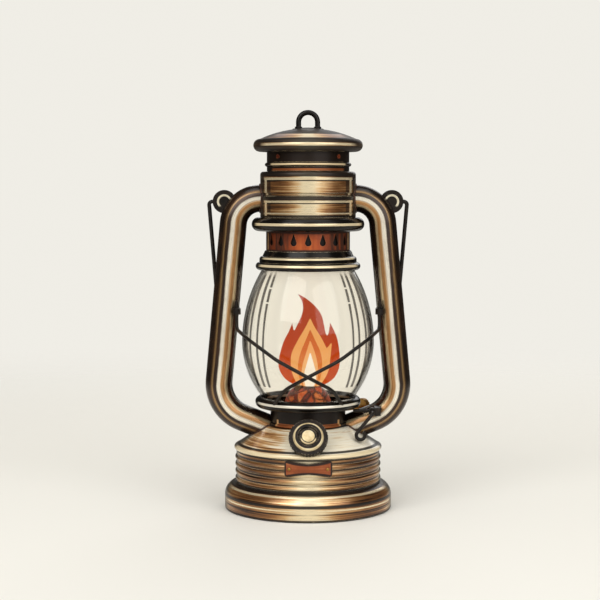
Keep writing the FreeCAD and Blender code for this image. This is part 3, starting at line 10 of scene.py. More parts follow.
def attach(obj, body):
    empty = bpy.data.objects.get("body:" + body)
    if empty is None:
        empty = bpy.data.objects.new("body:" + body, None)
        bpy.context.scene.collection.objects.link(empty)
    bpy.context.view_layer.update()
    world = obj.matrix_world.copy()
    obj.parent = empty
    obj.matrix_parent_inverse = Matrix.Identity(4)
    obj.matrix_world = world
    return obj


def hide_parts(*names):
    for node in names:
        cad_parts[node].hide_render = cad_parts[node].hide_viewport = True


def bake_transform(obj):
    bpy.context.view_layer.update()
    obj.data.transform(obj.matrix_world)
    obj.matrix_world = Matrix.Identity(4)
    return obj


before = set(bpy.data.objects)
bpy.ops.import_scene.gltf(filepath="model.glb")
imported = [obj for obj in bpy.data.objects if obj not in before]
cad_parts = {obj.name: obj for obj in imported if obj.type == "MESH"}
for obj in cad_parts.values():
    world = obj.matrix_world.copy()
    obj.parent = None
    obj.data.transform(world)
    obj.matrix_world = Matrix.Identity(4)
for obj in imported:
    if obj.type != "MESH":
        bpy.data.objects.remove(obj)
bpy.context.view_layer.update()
MM = 0.001
# Keeps divisions finite on the lantern's axis.
TINY = 1e-9


def tint(code):
    """A colour written as six hex digits, as the shader's linear red, green, blue and full alpha."""
    shares = [int(code[at:at + 2], 16) / 255 for at in (0, 2, 4)]
    return tuple(c / 12.92 if c <= 0.04045 else ((c + 0.055) / 1.055) ** 2.4 for c in shares) + (1.0,)


class Field:
    """A shader socket that takes part in plain sums, and from which further nodes are made."""

    def __init__(self, tree, socket=None):
        self.tree = tree
        self.socket = socket

    def node(self, kind, settings=None, sockets=None, out=0):
        """Adds a node: its settings first, then the values or links of its sockets. Gives one output."""
        made = self.tree.nodes.new("ShaderNode" + kind)
        for name, value in (settings or {}).items():
            if name == "stops":
                set_stops(made.color_ramp, value)
            else:
                setattr(made, name, value)
        for name, value in (sockets or {}).items():
            if isinstance(value, Field):
                self.tree.links.new(value.socket, made.inputs[name])
            else:
                made.inputs[name].default_value = value
        return Field(self.tree, made.outputs[out] if len(made.outputs) else None)

    def maths(self, operation, *values):
        """A Math node on those values."""
        return self.node("Math", {"operation": operation}, dict(enumerate(values)))

    def __add__(self, other):
        return self.maths("ADD", self, other)

    def __sub__(self, other):
        return self.maths("SUBTRACT", self, other)

    def __mul__(self, other):
        return self.maths("MULTIPLY", self, other)

    def __truediv__(self, other):
        return self.maths("DIVIDE", self, other)

    def __pow__(self, other):
        return self.maths("POWER", self, other)

    def __rsub__(self, other):
        return self.maths("SUBTRACT", other, self)

    def __abs__(self):
        return self.maths("ABSOLUTE", self)

    __radd__ = __add__

    def rise(self, low, high):
        """0 below low and 1 above high, smooth between; falls instead where low is the larger."""
        settings = {"interpolation_type": "SMOOTHSTEP", "clamp": True}
        if low > high:
            return 1 - self.rise(high, low)
        return self.node("MapRange", settings, {"Value": self, "From Min": low, "From Max": high})

    def between(self, low, high, soft):
        """1 from low to high, and 0 past a soft edge on either side."""
        return self.rise(low - soft, low) * self.rise(high + soft, high)

    def above(self, limit):
        """1 where this is over a limit and 0 elsewhere."""
        return self.maths("GREATER_THAN", self, limit)

    def larger(self, other):
        """The larger of two fields."""
        return self.maths("MAXIMUM", self, other)

    def dot(self, other):
        """The dot product of two vectors."""
        return self.node("VectorMath", {"operation": "DOT_PRODUCT"}, {0: self, 1: other}, out="Value")

    def mix(self, first, second):
        """The first colour where this is 0 and the second where it is 1."""
        return self.node("Mix", {"data_type": "RGBA"}, {0: self, 6: first, 7: second}, out=2)

    def ramp(self, *stops):
        """A colour ramp of (place, colour) stops."""
        return self.node("ValToRGB", {"stops": stops}, {0: self})


def set_stops(ramp, stops):
    """Gives a colour ramp those stops."""
    while len(ramp.elements) < len(stops):
        ramp.elements.new(1.0)
    for element, (place, colour) in zip(ramp.elements, stops):
        element.position = place
        element.color = colour


def new_finish(name):
    """A material with an empty tree, and the place on the piece as its first field."""
    made = bpy.data.materials.new(name)
    made.use_nodes = True
    made.node_tree.nodes.clear()
    return made, Field(made.node_tree).node("TexCoord", out="Object")


def coat_with(place, **sockets):
    """The finish's shader, from its sockets by name with _ for a blank."""
    named = {name.replace("_", " "): value for name, value in sockets.items()}
    shader = place.node("BsdfPrincipled", sockets=named)
    place.node("OutputMaterial", sockets={"Surface": shader})


def axes_of(place):
    """The three numbers of a place."""
    return [place.node("SeparateXYZ", sockets={0: place}, out=axis) for axis in range(3)]


def stretched(place, across, along, up):
    """A place with its three numbers scaled."""
    return place.node("Mapping", {"vector_type": "POINT"}, {"Vector": place, "Scale": (across, along, up)})


def noise(place, scale, detail=3.0, rough=0.5):
    """Cloudy noise from 0 to 1 at a place."""
    sockets = {"Vector": place, "Scale": scale, "Detail": detail, "Roughness": rough}
    return place.node("TexNoise", sockets=sockets)


def largest(fields):
    """The largest of several fields."""
    most, *others = fields
    for other in others:
        most = most.larger(other)
    return most


def spun(place, around, up):
    """A place for streaks that run round the lantern's axis: their turns are few and their heights many."""
    x, y, z = axes_of(place)
    reach = (x * x + y * y + TINY) ** 0.5
    return place.node("CombineXYZ", sockets={0: x / reach * around, 1: y / reach * around, 2: z * up})


def along_rings(place):
    """A place for fine streaks round the lantern."""
    return spun(place, 0.9, 1100.0)


def upright(place):
    """A place for short upright streaks."""
    return stretched(place, 260.0, 260.0, 26.0)


def quarters(place):
    """0 at the front, back and both sides of the lantern, and 1 halfway between them."""
    x, y = axes_of(place)[:2]
    return abs(x * y) * 2 / (x * x + y * y + TINY)


def flanks(place, low, high):
    """1 on the lantern's two sides, by its air tubes, and 0 in front and behind, with an uneven edge."""
    x, y = axes_of(place)[:2]
    uneven = (noise(spun(place, 1.5, 260.0), 1.0, 3.0, 0.6) - 0.5) * (high - low) * 1.2
    return (x * x / (x * x + y * y + TINY) + uneven).rise(low, high)


def uprights(place, share, half):
    """1 on four upright lines, at a share of the lantern's half width as seen from the front or back."""
    x, y = axes_of(place)[:2]
    across = abs(x) / (x * x + y * y + TINY) ** 0.5
    return abs(across - share).rise(half, half * 0.5)


def painted_crevice_shade(place, reach):
    """0 in the open and 1 deep between surfaces, from ambient occlusion, which the finishes paint in as
    shade.
    """
    open_sky = place.node("AmbientOcclusion", {"samples": 6}, {"Distance": reach}, out="AO")
    return open_sky.rise(0.92, 0.35)


def worn_edge(place, reach):
    """1 along sharp edges and 0 on plain faces: where the finishes paint wear, which also stands in for
    highlights.
    """
    rounded = place.node("Bevel", {"samples": 4}, {"Radius": reach})
    straight = place.node("NewGeometry", out="Normal")
    return rounded.dot(straight).rise(0.985, 0.86)


def bump(height, strength, depth):
    """The normal of a finely uneven face."""
    return height.node("Bump", sockets={"Height": height, "Strength": strength, "Distance": depth})


# The dark colour that painted shade goes to.
SHADE_COLOUR = tint("15100c")
UMBER = tint("2c1e15")
BROWN = tint("6e4626")
BRONZE = tint("9a6a3d")
PALE_BRONZE = tint("cda06a")
CREAM = tint("ecd9b2")
BRONZE_TONES = (
    (0.0, tint("f0dfba")), (0.24, CREAM), (0.4, tint("cfa671")), (0.58, BRONZE), (0.8, BROWN), (1.0, UMBER),
)
PALE_TONES = ((0.0, tint("faf3e2")), (0.5, tint("f5e9cd")), (0.66, PALE_BRONZE), (0.86, BRONZE), (1.0, BROWN))
# Upright lines, as a share of the half width and half a line's own width: the painted shade and painted
# highlight at the ends of the bronze panels, and the painted highlight lines at the ends of the burner drum's
# band and on the gallery.
PANEL_SHADE = (0.81, 0.05)
PANEL_HIGHLIGHT = (0.875, 0.028)
DRUM_END_HIGHLIGHTS = (0.8, 0.03)
GALLERY_HIGHLIGHTS = (0.945, 0.014)


def banded(place, bands, soft=0.35):
    """1 in the bands, each a height and a half width in millimetres, and 0 outside them."""
    z = axes_of(place)[2]
    return largest([abs(z - height * MM).rise((half + soft) * MM, half * MM) for height, half in bands])


def make_bronze(name, tones, shine=0.3, bright=(), dark=(), lines=(), lobe_shade=0.66, metal=0.55, coat=0.3,
                sides=(0.8, 0.94), panels=(), lean=0.0):
    """Aged bronze turned on the lathe, with painted shade: hatched between its four faces, in its crevices,
    bands and sides, and in dark lines that fade on the faces. Its edges are worn bright, which also stands in
    for highlights, and its bright bands and the ends of its panels are painted highlights. With a lean, the
    painted shade is heavier towards -X."""
    made, place = new_finish(name)
    grain_place = along_rings(place)
    broad = noise(grain_place, 1.0, 3.0, 0.55)
    fine = noise(grain_place, 2.9, 2.0, 0.5)
    cloud = noise(place, 46.0, 4.0, 0.6)
    # Painted shade: the tone darkens between the four faces, in hatched lines there.
    shade_lobes = quarters(place)
    hatched_shade = (broad - 0.5) * (shade_lobes * 1.5 + 0.2)
    tone = shade_lobes * lobe_shade + hatched_shade + (fine - 0.5) * 0.16 + (cloud - 0.5) * 0.3 + 0.08
    # The lean paints shade heavier towards -X.
    if lean:
        tone = tone - axes_of(place)[0] * lean
    colour = tone.ramp(*tones)
    # Painted shade: the two sides, the crevices, the dark bands and lines and the shaded ends of the panels
    # go to the shade colour.
    side = flanks(place, *sides)
    painted_shade = (painted_crevice_shade(place, 5 * MM) * 0.92).larger(side * 0.9)
    if dark:
        painted_shade = painted_shade.larger(banded(place, dark) * 0.95)
    if lines:
        painted_shade = painted_shade.larger(banded(place, lines, 0.5) * shade_lobes.rise(-0.25, 0.75) * 0.9)
    if panels:
        painted_shade = painted_shade.larger(uprights(place, *PANEL_SHADE) * banded(place, panels) * 0.75)
    colour = painted_shade.mix(colour, SHADE_COLOUR)
    # Edges worn bright, partly wear and partly painted highlight, and painted highlights in the bright bands
    # and at the panel ends, kept off the shaded sides.
    wear_and_highlight = worn_edge(place, 0.7 * MM) * cloud.rise(0.3, 0.62) * 0.85
    if bright:
        wear_and_highlight = wear_and_highlight.larger(banded(place, bright) * cloud.rise(0.05, 0.3))
    if panels:
        wear_and_highlight = wear_and_highlight.larger(uprights(place, *PANEL_HIGHLIGHT) * banded(place, panels) * cloud.rise(0.05, 0.3))
    wear_and_highlight = wear_and_highlight * (1 - side)
    colour = wear_and_highlight.mix(colour, CREAM)
    rough = shine + (fine - 0.5) * 0.2 + painted_shade * 0.25 - wear_and_highlight * 0.06
    coat_with(place, Base_Color=colour, Metallic=metal, Roughness=rough, Coat_Weight=coat, Coat_Roughness=0.2,
              Normal=bump(fine, 0.08, 0.12 * MM))
    return made


# The air tube's centre line on the +X side, in X and Z: a level top run, a long run down the side and a foot
# that falls towards the axis. They meet in two corners, each rounded to a bend.
TUBE_RADIUS = 11.5 * MM
TOP_CORNER = Vector((61.3, 263.1)) * MM
LOW_CORNER = Vector((77.9, 85.0)) * MM
TOP_ROUND = 23 * MM
LOW_ROUND = 31 * MM
FOOT_FALL = math.radians(22)
TOP_WAY = Vector((1, 0))
RUN_WAY = (LOW_CORNER - TOP_CORNER).normalized()
FOOT_WAY = Vector((-math.cos(FOOT_FALL), -math.sin(FOOT_FALL)))


def bend_middle(corner, before, after, radius):
    """The middle of the bend that rounds a corner, from the ways before and after it."""
    inwards = (after - before).normalized()
    return corner + inwards * radius / ((before + after).length / 2)


TOP_BEND = bend_middle(TOP_CORNER, TOP_WAY, RUN_WAY, TOP_ROUND)
LOW_BEND = bend_middle(LOW_CORNER, RUN_WAY, FOOT_WAY, LOW_ROUND)
# How sharply one stretch of the tube gives way to the next, and the heights that keep its foot and its top
# run apart.
STRETCH_CHANGE = 0.1 * MM
BELOW_MIDDLE = (150 * MM, 140 * MM)
ABOVE_MIDDLE = (200 * MM, 210 * MM)


def along(x, z, start, way):
    """How far a place is from a start, along a way."""
    return (x - start[0]) * way[0] + (z - start[1]) * way[1]


def across_tube(place):
    """Where a place is on the air tube: -1 on the inside of its bends, 0 in front and behind, 1 outside."""
    x, _, z = axes_of(place)
    x = abs(x)
    off = along(x, z, TOP_CORNER, (-RUN_WAY[1], RUN_WAY[0]))
    for middle, radius, before in ((TOP_BEND, TOP_ROUND, -1), (LOW_BEND, LOW_ROUND, 1)):
        reach = ((x - middle[0]) ** 2 + (z - middle[1]) ** 2) ** 0.5
        here = (along(x, z, middle, RUN_WAY) * before).above(0.0)
        off = off + (reach - radius - off) * here
    foot = along(x, z, LOW_CORNER, (-FOOT_WAY[1], FOOT_WAY[0]))
    on_foot = along(x, z, LOW_BEND, FOOT_WAY).rise(0.0, STRETCH_CHANGE) * z.rise(*BELOW_MIDDLE)
    off = off + (foot - off) * on_foot
    on_top = x.rise(TOP_BEND[0], TOP_BEND[0] - STRETCH_CHANGE) * z.rise(*ABOVE_MIDDLE)
    off = off + (z - TOP_CORNER[1] - off) * on_top
    return off / TUBE_RADIUS


# Painted highlights and painted shade in stripes along the tube, from the inside of its bends to the outside.
TUBE_LIGHT_AND_SHADE_TONES = (
    (0.0, tint("120d09")), (0.175, tint("1c140e")), (0.235, tint("d6c096")), (0.3, tint("a97642")),
    (0.4, tint("b98a55")), (0.45, tint("faf2df")), (0.54, tint("f7eeda")), (0.59, tint("2a1d14")),
    (0.68, tint("33231a")), (0.73, tint("a88657")), (0.785, tint("4f3823")), (0.83, tint("1c140e")),
    (1.0, tint("33241a")),
)


def make_tube_bronze(name):
    """Aged bronze tube, with painted highlights and painted shade in long stripes along it, and painted shade
    in its crevices.
    """
    made, place = new_finish(name)
    y, z = axes_of(place)[1:]
    across = across_tube(place)
    streak = noise(place.node("CombineXYZ", sockets={0: across * 7, 1: y * 200, 2: z * 16}), 1.0, 3.0, 0.6)
    cloud = noise(place, 46.0, 4.0, 0.6)
    tone = across * 0.5 + 0.5 + (streak - 0.5) * 0.09 + (cloud - 0.5) * 0.05
    colour = tone.ramp(*TUBE_LIGHT_AND_SHADE_TONES)
    colour = (cloud.rise(0.35, 0.8) * 0.3).mix(colour, BROWN)
    # Painted shade in the crevices.
    colour = (painted_crevice_shade(place, 5 * MM) * 0.92).mix(colour, SHADE_COLOUR)
    rough = 0.26 + (streak - 0.5) * 0.25
    coat_with(place, Base_Color=colour, Metallic=0.55, Roughness=rough, Coat_Weight=0.3, Coat_Roughness=0.2,
              Normal=bump(streak, 0.06, 0.15 * MM))
    return made


def make_enamel(name, base, worn, shine=0.24, bright=(), copper=(), ends=(), sides=(0.8, 0.94)):
    """Dark glossy patina with painted shade in its crevices, its edges worn bright, which also stands in for
    highlights, painted highlights in bands and on upright lines at their ends, and copper in other bands.
    """
    made, place = new_finish(name)
    cloud = noise(place, 60.0, 5.0, 0.62)
    rings = noise(spun(place, 2.0, 700.0), 1.0, 2.0)
    colour = ((cloud - 0.4) * 0.6 + (rings - 0.5) * 0.4).mix(base, UMBER)
    # Painted shade in the crevices.
    colour = (painted_crevice_shade(place, 4 * MM) * 0.9).mix(colour, SHADE_COLOUR)
    # Wear, painted highlights and copper keep to the faces, off the lantern's two sides.
    face = 1 - flanks(place, *sides)
    wear_and_highlight = worn_edge(place, 0.6 * MM) * cloud.rise(0.28, 0.55)
    if bright:
        wear_and_highlight = wear_and_highlight.larger(banded(place, bright) * cloud.rise(0.05, 0.3))
    colour = (wear_and_highlight * face).mix(colour, worn)
    if copper:
        # The copper is darker between the four faces: painted shade.
        redder = (quarters(place) * 0.7).mix(tint("b56c3a"), tint("7a3e1e"))
        colour = (banded(place, copper) * cloud.rise(0.1, 0.4) * face).mix(colour, redder)
    # Pale upright lines at the ends of bands: painted highlights.
    if ends:
        colour = (uprights(place, *DRUM_END_HIGHLIGHTS) * banded(place, ends)).mix(colour, PALE_BRONZE)
    rough = shine + (cloud - 0.5) * 0.2
    coat_with(place, Base_Color=colour, Metallic=0.3, Roughness=rough, Specular_IOR_Level=0.35,
              Normal=bump(cloud, 0.06, 0.2 * MM))
    return made


# The bail's ear, on the outside of the tube's top bend: its turn above level, how far its middle stands off
# the tube, the two edges of its painted highlight ring and their softness, and the way that its lit side
# faces.
EAR_TURN = math.radians(33.6)
EAR_STAND = 2.0 * MM
EAR_SWING = TOP_ROUND + TUBE_RADIUS + EAR_STAND
EAR_SPOT = TOP_BEND + Vector((math.cos(EAR_TURN), math.sin(EAR_TURN))) * EAR_SWING
EAR_HIGHLIGHT = (4.7 * MM, 5.9 * MM, 0.4 * MM)
EAR_LIT = (0.5, 0.87)


def make_ear_enamel(name):
    """Black patina, with a painted highlight round the upper side of the dish that the bail's end sits in."""
    made, place = new_finish(name)
    x, _, z = axes_of(place)
    cloud = noise(place, 90.0, 4.0, 0.6)
    reach = ((abs(x) - EAR_SPOT[0]) ** 2 + (z - EAR_SPOT[1]) ** 2) ** 0.5
    # The painted highlight ring.
    ring = reach.between(*EAR_HIGHLIGHT) * along(abs(x), z, EAR_SPOT, EAR_LIT).rise(-2.5 * MM, 0.0)
    colour = cloud.ramp((0.3, tint("0d0a08")), (0.75, tint("2a1f17")))
    colour = (ring * cloud.rise(0.15, 0.4)).mix(colour, tint("f0e6cb"))
    coat_with(place, Base_Color=colour, Metallic=0.3, Roughness=cloud * 0.25 + 0.2, Specular_IOR_Level=0.35,
              Normal=bump(cloud, 0.06, 0.2 * MM))
    return made


def make_wire(name):
    """Blackened wire with a faint draw grain."""
    made, place = new_finish(name)
    cloud = noise(place, 150.0, 4.0, 0.6)
    colour = cloud.ramp((0.3, tint("0f0d0b")), (0.6, tint("241c16")), (0.8, tint("4a3524")))
    rough = cloud * 0.3 + 0.26
    coat_with(place, Base_Color=colour, Metallic=0.5, Roughness=rough, Normal=bump(cloud, 0.1, 0.1 * MM))
    return made


def make_copper(name, streaks, deep="5b2512", mid="a04a22", light="c66f3c", mottle=0.8, border=None, dark=(),
                upright_highlights=None):
    """Heat-tinted red copper, mottled and streaked, its edges worn bright, which also stands in for
    highlights:
    painted shade in its crevices, along a border, in dark bands, between its four faces and on its sides, and
    painted highlights on upright lines."""
    made, place = new_finish(name)
    grain = noise(streaks(place), 1.0, 4.0, 0.6)
    cloud = noise(place, 70.0, 5.0, 0.62)
    tone = (grain - 0.5) * 0.9 + (cloud - 0.5) * mottle + 0.5
    colour = tone.ramp((0.1, tint(deep)), (0.5, tint(mid)), (0.9, tint(light)))
    colour = (worn_edge(place, 0.5 * MM) * 0.6).mix(colour, tint("e3a06a"))
    # Painted shade: crevices, border, dark bands, the two sides and between the four faces.
    painted_shade = painted_crevice_shade(place, 5 * MM) * 0.9
    if border:
        painted_shade = painted_shade.larger(border(place) * 0.95)
    if dark:
        painted_shade = painted_shade.larger(banded(place, dark, 1.4) * 0.92).larger(flanks(place, 0.66, 0.85) * 0.9)
        painted_shade = painted_shade.larger(quarters(place).rise(0.45, 1.0) * grain.rise(0.25, 0.6) * 0.9)
    colour = painted_shade.mix(colour, SHADE_COLOUR)
    # Pale upright lines: painted highlights.
    if upright_highlights:
        colour = (uprights(place, *upright_highlights) * (1 - banded(place, dark)) * 0.85).mix(colour, PALE_BRONZE)
    rough = (grain - 0.5) * 0.25 + painted_shade * 0.25 + 0.4
    coat_with(place, Base_Color=colour, Metallic=0.45, Roughness=rough, Coat_Weight=0.2, Coat_Roughness=0.3,
              Normal=bump(grain, 0.1, 0.15 * MM))
    return made


# The front plate: the height of its middle, its half width, half its waist, how far it flares, and where the
# dark border of painted shade starts, from its long edges and at its ends.
PLATE_MIDDLE = 42.6 * MM
PLATE_HALF = 19.5 * MM
PLATE_WAIST = 3.8 * MM
PLATE_FLARE = 2.7 * MM
BORDER_EDGES = (-1.5 * MM, -0.9 * MM)
BORDER_ENDS = (17.9 * MM, 18.5 * MM)


def plate_border(place):
    """1 along the edge of the waisted front plate, where it is painted as shade."""
    x, _, z = axes_of(place)
    half_height = (x / PLATE_HALF) ** 2 * PLATE_FLARE + PLATE_WAIST
    edge = (abs(z - PLATE_MIDDLE) - half_height).rise(*BORDER_EDGES)
    return edge.larger(abs(x).rise(*BORDER_ENDS))


EMBER_TONES = ((0.1, tint("4a1608")), (0.45, tint("8f2f12")), (0.75, tint("b5501f")), (1.0, tint("dc9050")))
EMBER_SHAKE = (8 * MM, 8 * MM, 8 * MM)


def make_embers(name):
    """Copper scaled by the flame: red patches with dark cracks between them, that glow faintly with painted
    light, and painted shade in its crevices.
    """
    made, place = new_finish(name)
    cloud = noise(place, 75.0, 4.0, 0.6)
    shaken = place.node("VectorMath", {"operation": "MULTIPLY_ADD"}, {0: cloud, 1: EMBER_SHAKE, 2: place})
    cells = {"Vector": shaken, "Scale": 130.0}
    patch = place.node("TexVoronoi", sockets=cells, out="Color")
    crack = place.node("TexVoronoi", {"feature": "DISTANCE_TO_EDGE"}, cells, out="Distance")
    tone = axes_of(patch)[0] * 0.75 + (cloud - 0.5) * 1.1 + 0.15
    colour = tone.ramp(*EMBER_TONES)
    colour = (crack.rise(0.16, 0.03) * 0.85).mix(colour, tint("2a0d06"))
    # Painted shade in the crevices.
    colour = (painted_crevice_shade(place, 4 * MM) * 0.8).mix(colour, SHADE_COLOUR)
    # A faint painted glow.
    coat_with(place, Base_Color=colour, Metallic=0.2, Roughness=cloud * 0.3 + 0.4, Emission_Color=colour,
              Emission_Strength=0.25, Normal=bump(crack.rise(0.0, 0.2), 0.25, 0.4 * MM))
    return made


def make_brass(name):
    """Plain yellow brass, with painted shade in its corners."""
    made, place = new_finish(name)
    cloud = noise(place, 120.0, 4.0, 0.6)
    colour = cloud.ramp((0.25, tint("7d5526")), (0.6, tint("b98a47")), (0.85, tint("dcb878")))
    painted_shade = painted_crevice_shade(place, 3 * MM)
    colour = (painted_shade * 0.85).mix(colour, SHADE_COLOUR)
    rough = cloud * 0.25 + 0.2
    coat_with(place, Base_Color=colour, Metallic=0.85, Roughness=rough, Normal=bump(cloud, 0.05, 0.1 * MM))
    return made


def make_sooty_steel(name):
    """Sheet steel blackened by the flame."""
    made, place = new_finish(name)
    cloud = noise(place, 80.0, 5.0, 0.65)
    colour = cloud.ramp((0.3, tint("0b0908")), (0.6, tint("1a1512")), (0.85, tint("3a3029")))
    rough = cloud * 0.4 + 0.45
    coat_with(place, Base_Color=colour, Metallic=0.4, Roughness=rough, Normal=bump(cloud, 0.2, 0.2 * MM))
    return made


def make_rubber(name):
    """Matte black rubber."""
    made, place = new_finish(name)
    cloud = noise(place, 400.0, 3.0)
    colour = cloud.ramp((0.3, tint("141414")), (0.8, tint("262523")))
    coat_with(place, Base_Color=colour, Roughness=cloud * 0.2 + 0.7, Normal=bump(cloud, 0.1, 0.1 * MM))
    return made


# Painted dark reflections down the glass, in lines: their angle from the front and their half width, in
# degrees, and their breaks.
GLASS_REFLECTIONS = ((42.0, 1.9, [(189.0, 0.4), (177.0, 0.4)]), (49.5, 2.3, ()), (60.0, 3.0, ()))
# The colour of the painted reflections and of the painted shade at the glass's outline.
GLASS_DARK = tint("120c08")
# Their heights: where they fade in and out, where they are thinnest, and how far from there they are widest.
LINES_FOOT = (98 * MM, 106 * MM)
LINES_TOP = (204 * MM, 198 * MM)
LINES_THIN = 148 * MM
LINES_SPREAD = 50 * MM
# The heights between which the smoke on the glass grows.
SMOKE_SPAN = (186 * MM, 214 * MM)
# The globe's wall: the height of its widest ring, the radius there of the wall's middle, the radius of the
# bow below that height, and how much larger the bow's radius is above it.
GLOBE_WAIST = 141.9 * MM
GLOBE_REACH = 54.9 * MM
LOW_BOW = 86.1 * MM
MORE_BOW = 31.8 * MM


def outside_globe(x, y, z):
    """1 on the globe's outer face and 0 on its inner one: over or under the middle of its bowed wall."""
    lift = z - GLOBE_WAIST
    bow = lift.above(0.0) * MORE_BOW + LOW_BOW
    reach = (x * x + y * y) ** 0.5
    return (reach - GLOBE_REACH + bow - (bow * bow - lift * lift) ** 0.5).above(0.0)


def make_glass(name):
    """Clear blown glass with painted dark reflections in long lines down its front, smoked at its top, and
    painted shade at its outline, where it is seen edge on.
    """
    made, place = new_finish(name)
    x, y, z = axes_of(place)
    waves = noise(place, 26.0, 2.0)
    turn = x.maths("ARCTAN2", abs(x), y * -1) + (noise(stretched(place, 9, 9, 14), 1.0) - 0.5) * 0.05
    taper = abs(z - LINES_THIN).rise(0.0, LINES_SPREAD)
    lines = []
    for angle, width, breaks in GLASS_REFLECTIONS:
        half = math.radians(width)
        gap = abs(turn - math.radians(angle)) / (taper * 0.4 + 0.7)
        line = gap.rise(half, half * 0.7)
        if breaks:
            line = line * (1 - banded(place, breaks))
        lines.append(line)
    painted_reflections = largest(lines) * outside_globe(x, y, z) * z.rise(*LINES_FOOT) * z.rise(*LINES_TOP)
    smoke = z.rise(*SMOKE_SPAN) * noise(place, 55.0, 4.0) * 0.5
    # Painted shade where the glass is seen edge on.
    deep = place.node("LayerWeight", sockets={"Blend": 0.5}, out="Facing").rise(0.62, 0.72)
    colour = smoke.mix(tint("fdfaf3"), tint("a08a70"))
    colour = (painted_reflections * 0.97).mix(colour, GLASS_DARK)
    colour = (deep * 0.95).mix(colour, GLASS_DARK)
    coat_with(place, Base_Color=colour, Roughness=0.01, IOR=1.3, Specular_IOR_Level=0.3,
              Transmission_Weight=1.0, Normal=bump(waves, 0.05, 0.6 * MM))
    return made


# The filler cap: how steeply it points up, the way that it points, its upper side, and its foot.
FILLER_RISE = math.radians(32)
FILLER_AXIS = Vector((0, -math.cos(FILLER_RISE), math.sin(FILLER_RISE)))
FILLER_UP = Vector((0, math.sin(FILLER_RISE), math.cos(FILLER_RISE)))
FILLER_SPOT = Vector((0, -48.5, 62.2)) * MM
# Its pale marks: where the boss ends and how high it is over the foot, the two edges of the crescent, which
# is a painted highlight, and of the ring and their softness, all measured out from its axis, and how far
# below that the crescent starts.
BOSS_EDGE = (5.3 * MM, 5.0 * MM)
BOSS_HEIGHT = (12.6 * MM, 13.4 * MM)
CRESCENT_HIGHLIGHT = (6.0 * MM, 6.7 * MM, 0.2 * MM)
CRESCENT_DROP = (-1.0 * MM, -3.5 * MM)
FILLER_RING = (11.0 * MM, 12.4 * MM, 0.3 * MM)


def make_filler_finish(name):
    """The filler cap's rings: a pale boss and a painted highlight crescent, a dark ring, a pale ring and a
    black rim.
    """
    made, place = new_finish(name)
    away = place.node("VectorMath", {"operation": "SUBTRACT"}, {0: place, 1: FILLER_SPOT})
    beside = place.node("VectorMath", {"operation": "CROSS_PRODUCT"}, {0: away, 1: FILLER_AXIS})
    reach = place.node("VectorMath", {"operation": "LENGTH"}, {0: beside}, out="Value")
    height = away.dot(FILLER_AXIS)
    up = away.dot(FILLER_UP)
    cloud = noise(place, 140.0, 4.0, 0.6)
    pale = cloud.ramp((0.2, tint("a98d5f")), (0.5, tint("dcc79a")), (0.8, tint("f2e6c6")))
    dark = cloud.ramp((0.3, tint("0f0d0b")), (0.7, tint("2a2019")))
    boss = reach.rise(*BOSS_EDGE) * height.rise(*BOSS_HEIGHT)
    # The crescent is a painted highlight.
    crescent = reach.between(*CRESCENT_HIGHLIGHT) * up.rise(*CRESCENT_DROP)
    ring = reach.between(*FILLER_RING)
    colour = largest([boss, crescent, ring]).mix(dark, pale)
    colour = (worn_edge(place, 0.4 * MM) * cloud.rise(0.4, 0.6) * 0.7).mix(colour, CREAM)
    coat_with(place, Base_Color=colour, Metallic=0.3, Roughness=cloud * 0.2 + 0.26, Specular_IOR_Level=0.3,
              Normal=bump(cloud, 0.05, 0.1 * MM))
    return made


# The finishes. Their bands, lines and panels are heights and half widths in millimetres: the bright bands are
# painted highlights, and the dark bands and lines are painted shade.
BLACK_PATINA = tint("0f0c09")
canister_bronze = make_bronze("canister_bronze", BRONZE_TONES,
                              bright=[(279.4, 0.8), (260.4, 0.7), (250.6, 0.4)],
                              dark=[(284.0, 2.8), (277.9, 0.4), (263.4, 1.8), (258.9, 0.3), (247.6, 1.6)],
                              sides=(0.8, 0.86), panels=[(272.6, 6.6), (254.7, 5.8)])
tank_bronze = make_bronze("tank_bronze", BRONZE_TONES,
                          lines=[(28.6, 0.5), (34.6, 0.5), (40.6, 0.5), (46.4, 0.6)],
                          dark=[(22.5, 1.2), (49.6, 0.8)], sides=(0.84, 1.0))
foot_bronze = make_bronze("foot_bronze", BRONZE_TONES,
                          bright=[(19.8, 0.5), (9.4, 0.4)], lines=[(6.4, 0.35)],
                          dark=[(21.8, 0.9), (12.6, 1.1), (0.8, 0.9)], sides=(0.84, 1.0))
shoulder_bronze = make_bronze("shoulder_bronze", PALE_TONES,
                              bright=[(52.4, 1.5)], dark=[(49.6, 0.9), (55.2, 0.6)],
                              lobe_shade=0.46, metal=0.12, sides=(0.88, 1.0), lean=6.5)
cap_bronze = make_bronze("cap_bronze", BRONZE_TONES, shine=0.34, bright=[(307.6, 0.8)],
                         dark=[(302.6, 3.5), (311.0, 1.9), (320.4, 3.9)],
                         metal=0.4, coat=0.05, sides=(0.5, 0.8))
tube_bronze = make_tube_bronze("tube_bronze")
flange_enamel = make_enamel("flange_enamel", BLACK_PATINA, CREAM, bright=[(241.5, 0.9)])
collar_enamel = make_enamel("collar_enamel", BLACK_PATINA, CREAM, bright=[(206.9, 0.8), (212.9, 0.6)])
plate_enamel = make_enamel("plate_enamel", BLACK_PATINA, tint("f4eddc"), bright=[(90.9, 0.8)])
loop_enamel = make_enamel("loop_enamel", BLACK_PATINA, tint("6e5a44"))
ear_enamel = make_ear_enamel("ear_enamel")
neck_enamel = make_enamel("neck_enamel", tint("22170f"), tint("e3cba0"), shine=0.36,
                          bright=[(291.4, 0.6)], copper=[(287.0, 0.8)], sides=(0.68, 0.78))
